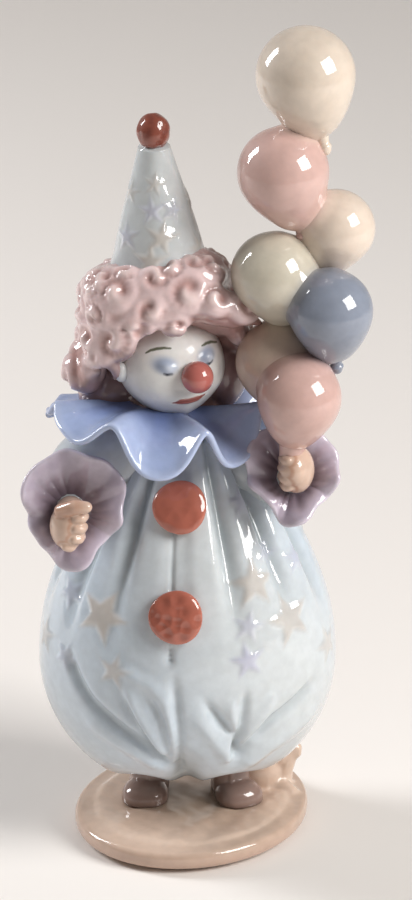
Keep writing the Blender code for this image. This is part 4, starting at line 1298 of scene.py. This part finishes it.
# Painted shade in the dents.
paint = spray(flat_paint(len(pompom_points), POMPOM_RED), srgb(104, 48, 38), 0.5 * dents)
pompom_points = pompom_points * POMPOM_HALF * (1.02 - 0.035 * dents)[:, None]
make_piece("pompom", pompom_points + HAT_TIP + hat_rows[2] * POMPOM_RISE, pompom_faces,
           CLEAR_GLAZE, paint)

BUTTON_RADIUS = 5.3
BUTTON_HALF_THICKNESS = 1.7
BUTTON_RISE = 0.9
BUTTON_DENTS = 15


def struck(across, seed):
    """Shallow dents over a disc of radius 1, as from the round end of a small hammer."""
    generator = np.random.default_rng(seed)
    reach = 0.92 * np.sqrt(generator.uniform(0, 1, BUTTON_DENTS))
    angle = generator.uniform(0, 2 * np.pi, BUTTON_DENTS)
    dents = np.zeros(len(across))
    for middle in np.stack([reach * np.cos(angle), reach * np.sin(angle)], -1):
        dents = np.maximum(dents, mound(np.linalg.norm(across - middle, axis=1), 0.21))
    return dents


BUTTONS = (("button_upper", 69.8, 0.14, 5), ("button_lower", 50.3, 0.36, 11))
for name, level, dent_depth, seed in BUTTONS:
    facing_bearing = math.radians(SUIT_FRONT)
    spot = suit_at(facing_bearing, level - SUIT_MIDDLE[2])
    slope_angle = (level - SUIT_MIDDLE[2]) / SUIT_RISE * math.pi / 2
    narrowing = SUIT_HALF_DEPTH * (1 - SUIT_NECK_SHARE) * math.sin(slope_angle)
    slope = narrowing / (SUIT_RISE / (math.pi / 2))
    out = np.array([math.cos(facing_bearing), math.sin(facing_bearing), slope])
    out /= np.linalg.norm(out)
    disc_rows = frame_along(out, (0, 0, 1))
    ways, disc_faces = ball_grid(124, 74)
    plump = np.sign(ways) * np.abs(ways) ** np.array([1, 1, 0.75])
    dents = struck(ways[:, :2], seed) * ease(0.0, 0.4, ways[:, 2])
    edge = 1 + 0.018 * np.sin(3 * np.arctan2(ways[:, 1], ways[:, 0]) + seed)
    local = plump * np.array([BUTTON_RADIUS, BUTTON_RADIUS, BUTTON_HALF_THICKNESS])
    local[:, :2] *= edge[:, None]
    local[:, 2] -= dent_depth * dents
    # Painted shade in the dents, deeper where the dents are deeper.
    dent_shade = (0.08 + 0.7 * dent_depth) * dents
    paint = spray(flat_paint(len(ways), TERRACOTTA), TERRACOTTA_SHADE, dent_shade)
    # Painted light: the paint is lighter round the rim.
    rim_painted_light = ease(0.85, 0.98, np.hypot(ways[:, 0], ways[:, 1]))
    paint = spray(paint, srgb(196, 116, 94), 0.35 * rim_painted_light)
    make_piece(name, spot + out * BUTTON_RISE + local @ disc_rows, disc_faces,
               CLEAR_GLAZE, paint)

# %% [markdown]
# ## The balloons
#
# All seven balloons follow one rule: a ball whose lower half is drawn out towards its knot.
# A Geometry Nodes tree makes that shape from a radius, a stretch and a waist. Where two
# balloons touch, wet clay and glaze fill the joint, so each surface swells towards its
# neighbour: a smooth blend of the two distances gives the fillet.

# %% The balloon tree


def make_balloon_tree():
    tree = new_tree("balloon", [("Radius", "Float"), ("Stretch", "Float"), ("Waist", "Float"),
                                ("Segments", "Int"), ("Material", "Material")])
    start = tree.nodes.new("NodeGroupInput").outputs
    ball = add_node(tree, "GeometryNodeMeshUVSphere", {
        "Segments": start["Segments"], "Rings": calculate(tree, "MULTIPLY", start["Segments"], 0.7),
        "Radius": 1.0})
    where = tree.nodes.new("GeometryNodeInputPosition").outputs["Position"]
    parts = add_node(tree, "ShaderNodeSeparateXYZ", {"Vector": where}).outputs
    low = calculate(tree, "MAXIMUM", calculate(tree, "MULTIPLY", parts["Z"], -1.0), 0.0)
    low = calculate(tree, "MULTIPLY", low, low)
    longer = calculate(tree, "ADD", calculate(tree, "MULTIPLY", start["Stretch"], low), 1.0)
    narrower = calculate(tree, "SUBTRACT", 1.0, calculate(tree, "MULTIPLY", start["Waist"], low))
    moved = add_node(tree, "ShaderNodeCombineXYZ", {
        "X": calculate(tree, "MULTIPLY", parts["X"], narrower),
        "Y": calculate(tree, "MULTIPLY", parts["Y"], narrower),
        "Z": calculate(tree, "MULTIPLY", parts["Z"], longer)}).outputs["Vector"]
    sized = add_node(tree, "ShaderNodeVectorMath", {0: moved, "Scale": start["Radius"]},
                     operation="SCALE").outputs["Vector"]
    shape = add_node(tree, "GeometryNodeSetPosition", {"Geometry": ball.outputs["Mesh"],
                                                       "Position": sized})
    return finish_tree(tree, shape.outputs["Geometry"], start["Material"])


# %% Each balloon: name, middle, radius, where its knot points, its colour's name and its own
BALLOONS = (
    ("top", (21.9, -4.0, 154.4), 9.6, (3.5, -1.5, -13.0), "cream", srgb(216, 202, 187)),
    ("second", (17.7, -6.0, 135.6), 8.9, (3.6, -1.0, -11.6), "pink", srgb(207, 173, 165)),
    ("back", (28.0, -4.0, 123.6), 7.6, (-3.0, 1.0, -10.0), "cream", srgb(222, 206, 191)),
    ("inner", (15.9, -8.0, 115.6), 8.3, (3.0, 1.5, -10.5), "cream", srgb(202, 195, 179)),
    ("outer", (26.9, -13.0, 109.8), 8.2, (1.2, 1.0, -11.0), "blue", srgb(136, 144, 160)),
    ("hidden", (17.0, -7.0, 97.2), 8.4, (2.5, -2.0, -10.0), "beige", srgb(202, 181, 165)),
    ("lowest", (20.9, -16.0, 93.2), 8.2, (-1.4, -0.6, -10.5), "pink", srgb(206, 171, 163)),
)
BALLOON_STRETCH = 0.30
BALLOON_WAIST = 0.08
BALLOON_SEGMENTS = 110
FILLET = 2.6


def clear_of_balloon(points, balloon):
    """About how far points are outside a balloon, in figure units."""
    _, middle, radius, knot, _, _ = balloon
    rows = frame_along(-np.array(knot), (0, 1, 0))
    local = (points - np.array(middle)) @ rows.T / radius
    reach = np.linalg.norm(local, axis=1)
    way = local[:, 2] / np.maximum(reach, 1e-6)
    low = np.maximum(-way, 0) ** 2
    across, along = 1 - BALLOON_WAIST * low, 1 + BALLOON_STRETCH * low
    edge = np.sqrt((1 - way ** 2) * across ** 2 + (way * along) ** 2)
    return (reach - edge) * radius


# %% Blow up the balloons
balloon_tree = make_balloon_tree()
for balloon in BALLOONS:
    name, middle, radius, knot, kind, colour = balloon
    mesh = grown("balloon", bpy.data.meshes.new("balloon"), balloon_tree, {
        "Radius": radius, "Stretch": BALLOON_STRETCH, "Waist": BALLOON_WAIST,
        "Segments": BALLOON_SEGMENTS, "Material": CLEAR_GLAZE})
    local = np.array([v.co[:] for v in mesh.vertices])
    rows = frame_along(-np.array(knot), (0, 1, 0))
    points = local @ rows + np.array(middle)
    outward = unit_rows(local) @ rows
    paint = flat_paint(len(points), colour)
    swell = np.zeros(len(points))
    for other in BALLOONS:
        if other[0] == name:
            continue
        gap = np.maximum(clear_of_balloon(points, other), 0)
        swell += np.maximum(FILLET - gap, 0) ** 2 / (4 * FILLET)
        paint = spray(paint, other[5], 0.45 * mound(gap, 1.1))
    points += outward * np.minimum(swell, 1.2)[:, None]
    mesh.vertices.foreach_set("co", to_metres(points).ravel())
    mesh.update()
    piece_from("balloon_" + name, mesh, CLEAR_GLAZE, paint)

# %% Knots: shares of the way from the middle, and radii; the lowest runs into the hand
FREE_KNOT = ((0.70, 0.90, 1.0, 1.06, 1.10), (2.9, 1.45, 1.05, 1.5, 1.2))
HELD_NECK = ((0.66, 0.9, 1.1, 1.3), (4.4, 2.7, 2.3, 2.2))
for name, middle, _, knot, kind, colour in BALLOONS:
    way = np.array(knot)
    shares, radii = (HELD_NECK if name == "lowest" else FREE_KNOT)
    stops = [np.array(middle) + way * share for share in shares]
    mesh = pressed_together("knot_" + name, [roll_form(stops, radii, 24)], grain=0.26, sponge=3)
    piece_from("knot_" + name, mesh, CLEAR_GLAZE,
               flat_paint(len(mesh.vertices), colour))

# %% [markdown]
# ## The table, the light and the camera
#
# The figurine stands on a pale sweep. A square softbox to the right gives the small window
# in each balloon, a tall one behind the left gives the long rim lights, and the rest of the
# room is dim, so the glaze shows the table below a level line and the room above it.
#
# The paper is see-through from its back, so that the figurine can be looked at from behind.
# Colours are shown by the plain Standard transform, because it keeps the pale glazes as they
# were picked.

# %% The sweep
SWEEP_HALF_WIDTH = 1.6
SWEEP_DEPTH = 1.1
SWEEP_FRONT = 0.8
SWEEP_RISE = 0.9
SWEEP_BEND = 0.45
side_line = [(-SWEEP_FRONT, 0.0)]
for angle in np.radians(np.arange(0, 91, 7.5)):
    side_line.append((SWEEP_DEPTH - SWEEP_BEND * (1 - math.sin(angle)),
                      SWEEP_BEND * (1 - math.cos(angle))))
side_line.append((SWEEP_DEPTH, SWEEP_RISE))
sweep_points = [(x, y, z) for x in (-SWEEP_HALF_WIDTH, SWEEP_HALF_WIDTH) for y, z in side_line]
half = len(side_line)
sweep_mesh = bpy.data.meshes.new("sweep")
sweep_faces = [(i, half + i, half + i + 1, i + 1) for i in range(half - 1)]
sweep_mesh.from_pydata(sweep_points, [], sweep_faces)
sweep_mesh.shade_smooth()
paper = bpy.data.materials.new("pale_paper")
paper.use_nodes = True
paper_shader = fill_inputs(paper.node_tree, paper.node_tree.nodes["Principled BSDF"],
                           {"Base Color": (0.84, 0.805, 0.775, 1.0), "Roughness": 0.9})
choice = add_node(paper.node_tree, "ShaderNodeMixShader", {
    "Fac": add_node(paper.node_tree, "ShaderNodeNewGeometry").outputs["Backfacing"],
    1: paper_shader.outputs["BSDF"],
    2: add_node(paper.node_tree, "ShaderNodeBsdfTransparent").outputs["BSDF"]})
fill_inputs(paper.node_tree, paper.node_tree.nodes["Material Output"],
            {"Surface": choice.outputs["Shader"]})
sweep_mesh.materials.append(paper)
sweep = bpy.data.objects.new("sweep", sweep_mesh)
bpy.context.scene.collection.objects.link(sweep)

# %% The lights


LIGHT_AIM = Vector((0.0, 0.0, 0.09))


def softbox(name, azimuth, elevation, distance, width, height, watts, colour):
    """A rectangular light that looks at the figurine's middle; azimuth 0 is behind the camera."""
    lamp = bpy.data.lights.new(name, "AREA")
    lamp.shape = "RECTANGLE"
    lamp.size = width
    lamp.size_y = height
    lamp.energy = watts
    lamp.color = colour
    holder = bpy.data.objects.new(name, lamp)
    around, up = math.radians(azimuth), math.radians(elevation)
    way = Vector((math.sin(around) * math.cos(up), -math.cos(around) * math.cos(up), math.sin(up)))
    holder.location = LIGHT_AIM + way * distance
    holder.rotation_euler = (-way).to_track_quat("-Z", "Y").to_euler()
    bpy.context.scene.collection.objects.link(holder)
    print(name, watts, "W")


softbox("key_window", 63, 32, 0.75, 0.37, 0.37, 6.1, (1.0, 0.98, 0.955))
softbox("rim_strip", -112, 28, 0.80, 0.20, 0.42, 5.0, (0.98, 0.985, 1.0))
world = bpy.data.worlds.new("dim_room")
world.use_nodes = True
fill_inputs(world.node_tree, world.node_tree.nodes["Background"],
            {"Color": (0.66, 0.62, 0.58, 1.0), "Strength": 0.28})
bpy.context.scene.world = world
bpy.context.scene.view_settings.view_transform = "Standard"

# %% The camera, placed in shares of the figure's height
CAMERA_ELEVATION = math.radians(22.0)
CAMERA_DISTANCE = 5.7926829 * FIGURE_HEIGHT
CAMERA_AIM = Vector((0.01775433, 0.0, 0.49277696)) * FIGURE_HEIGHT
CAMERA_LENS = 192.57
camera_data = bpy.data.cameras.new("camera")
camera_data.sensor_fit = "VERTICAL"
camera_data.sensor_height = 36.0
camera_data.lens = CAMERA_LENS
camera = bpy.data.objects.new("camera", camera_data)
way = Vector((0.0, -math.cos(CAMERA_ELEVATION), math.sin(CAMERA_ELEVATION)))
camera.location = CAMERA_AIM + way * CAMERA_DISTANCE
camera.rotation_euler = (math.pi / 2 - CAMERA_ELEVATION, 0.0, 0.0)
bpy.context.scene.collection.objects.link(camera)
bpy.context.scene.camera = camera
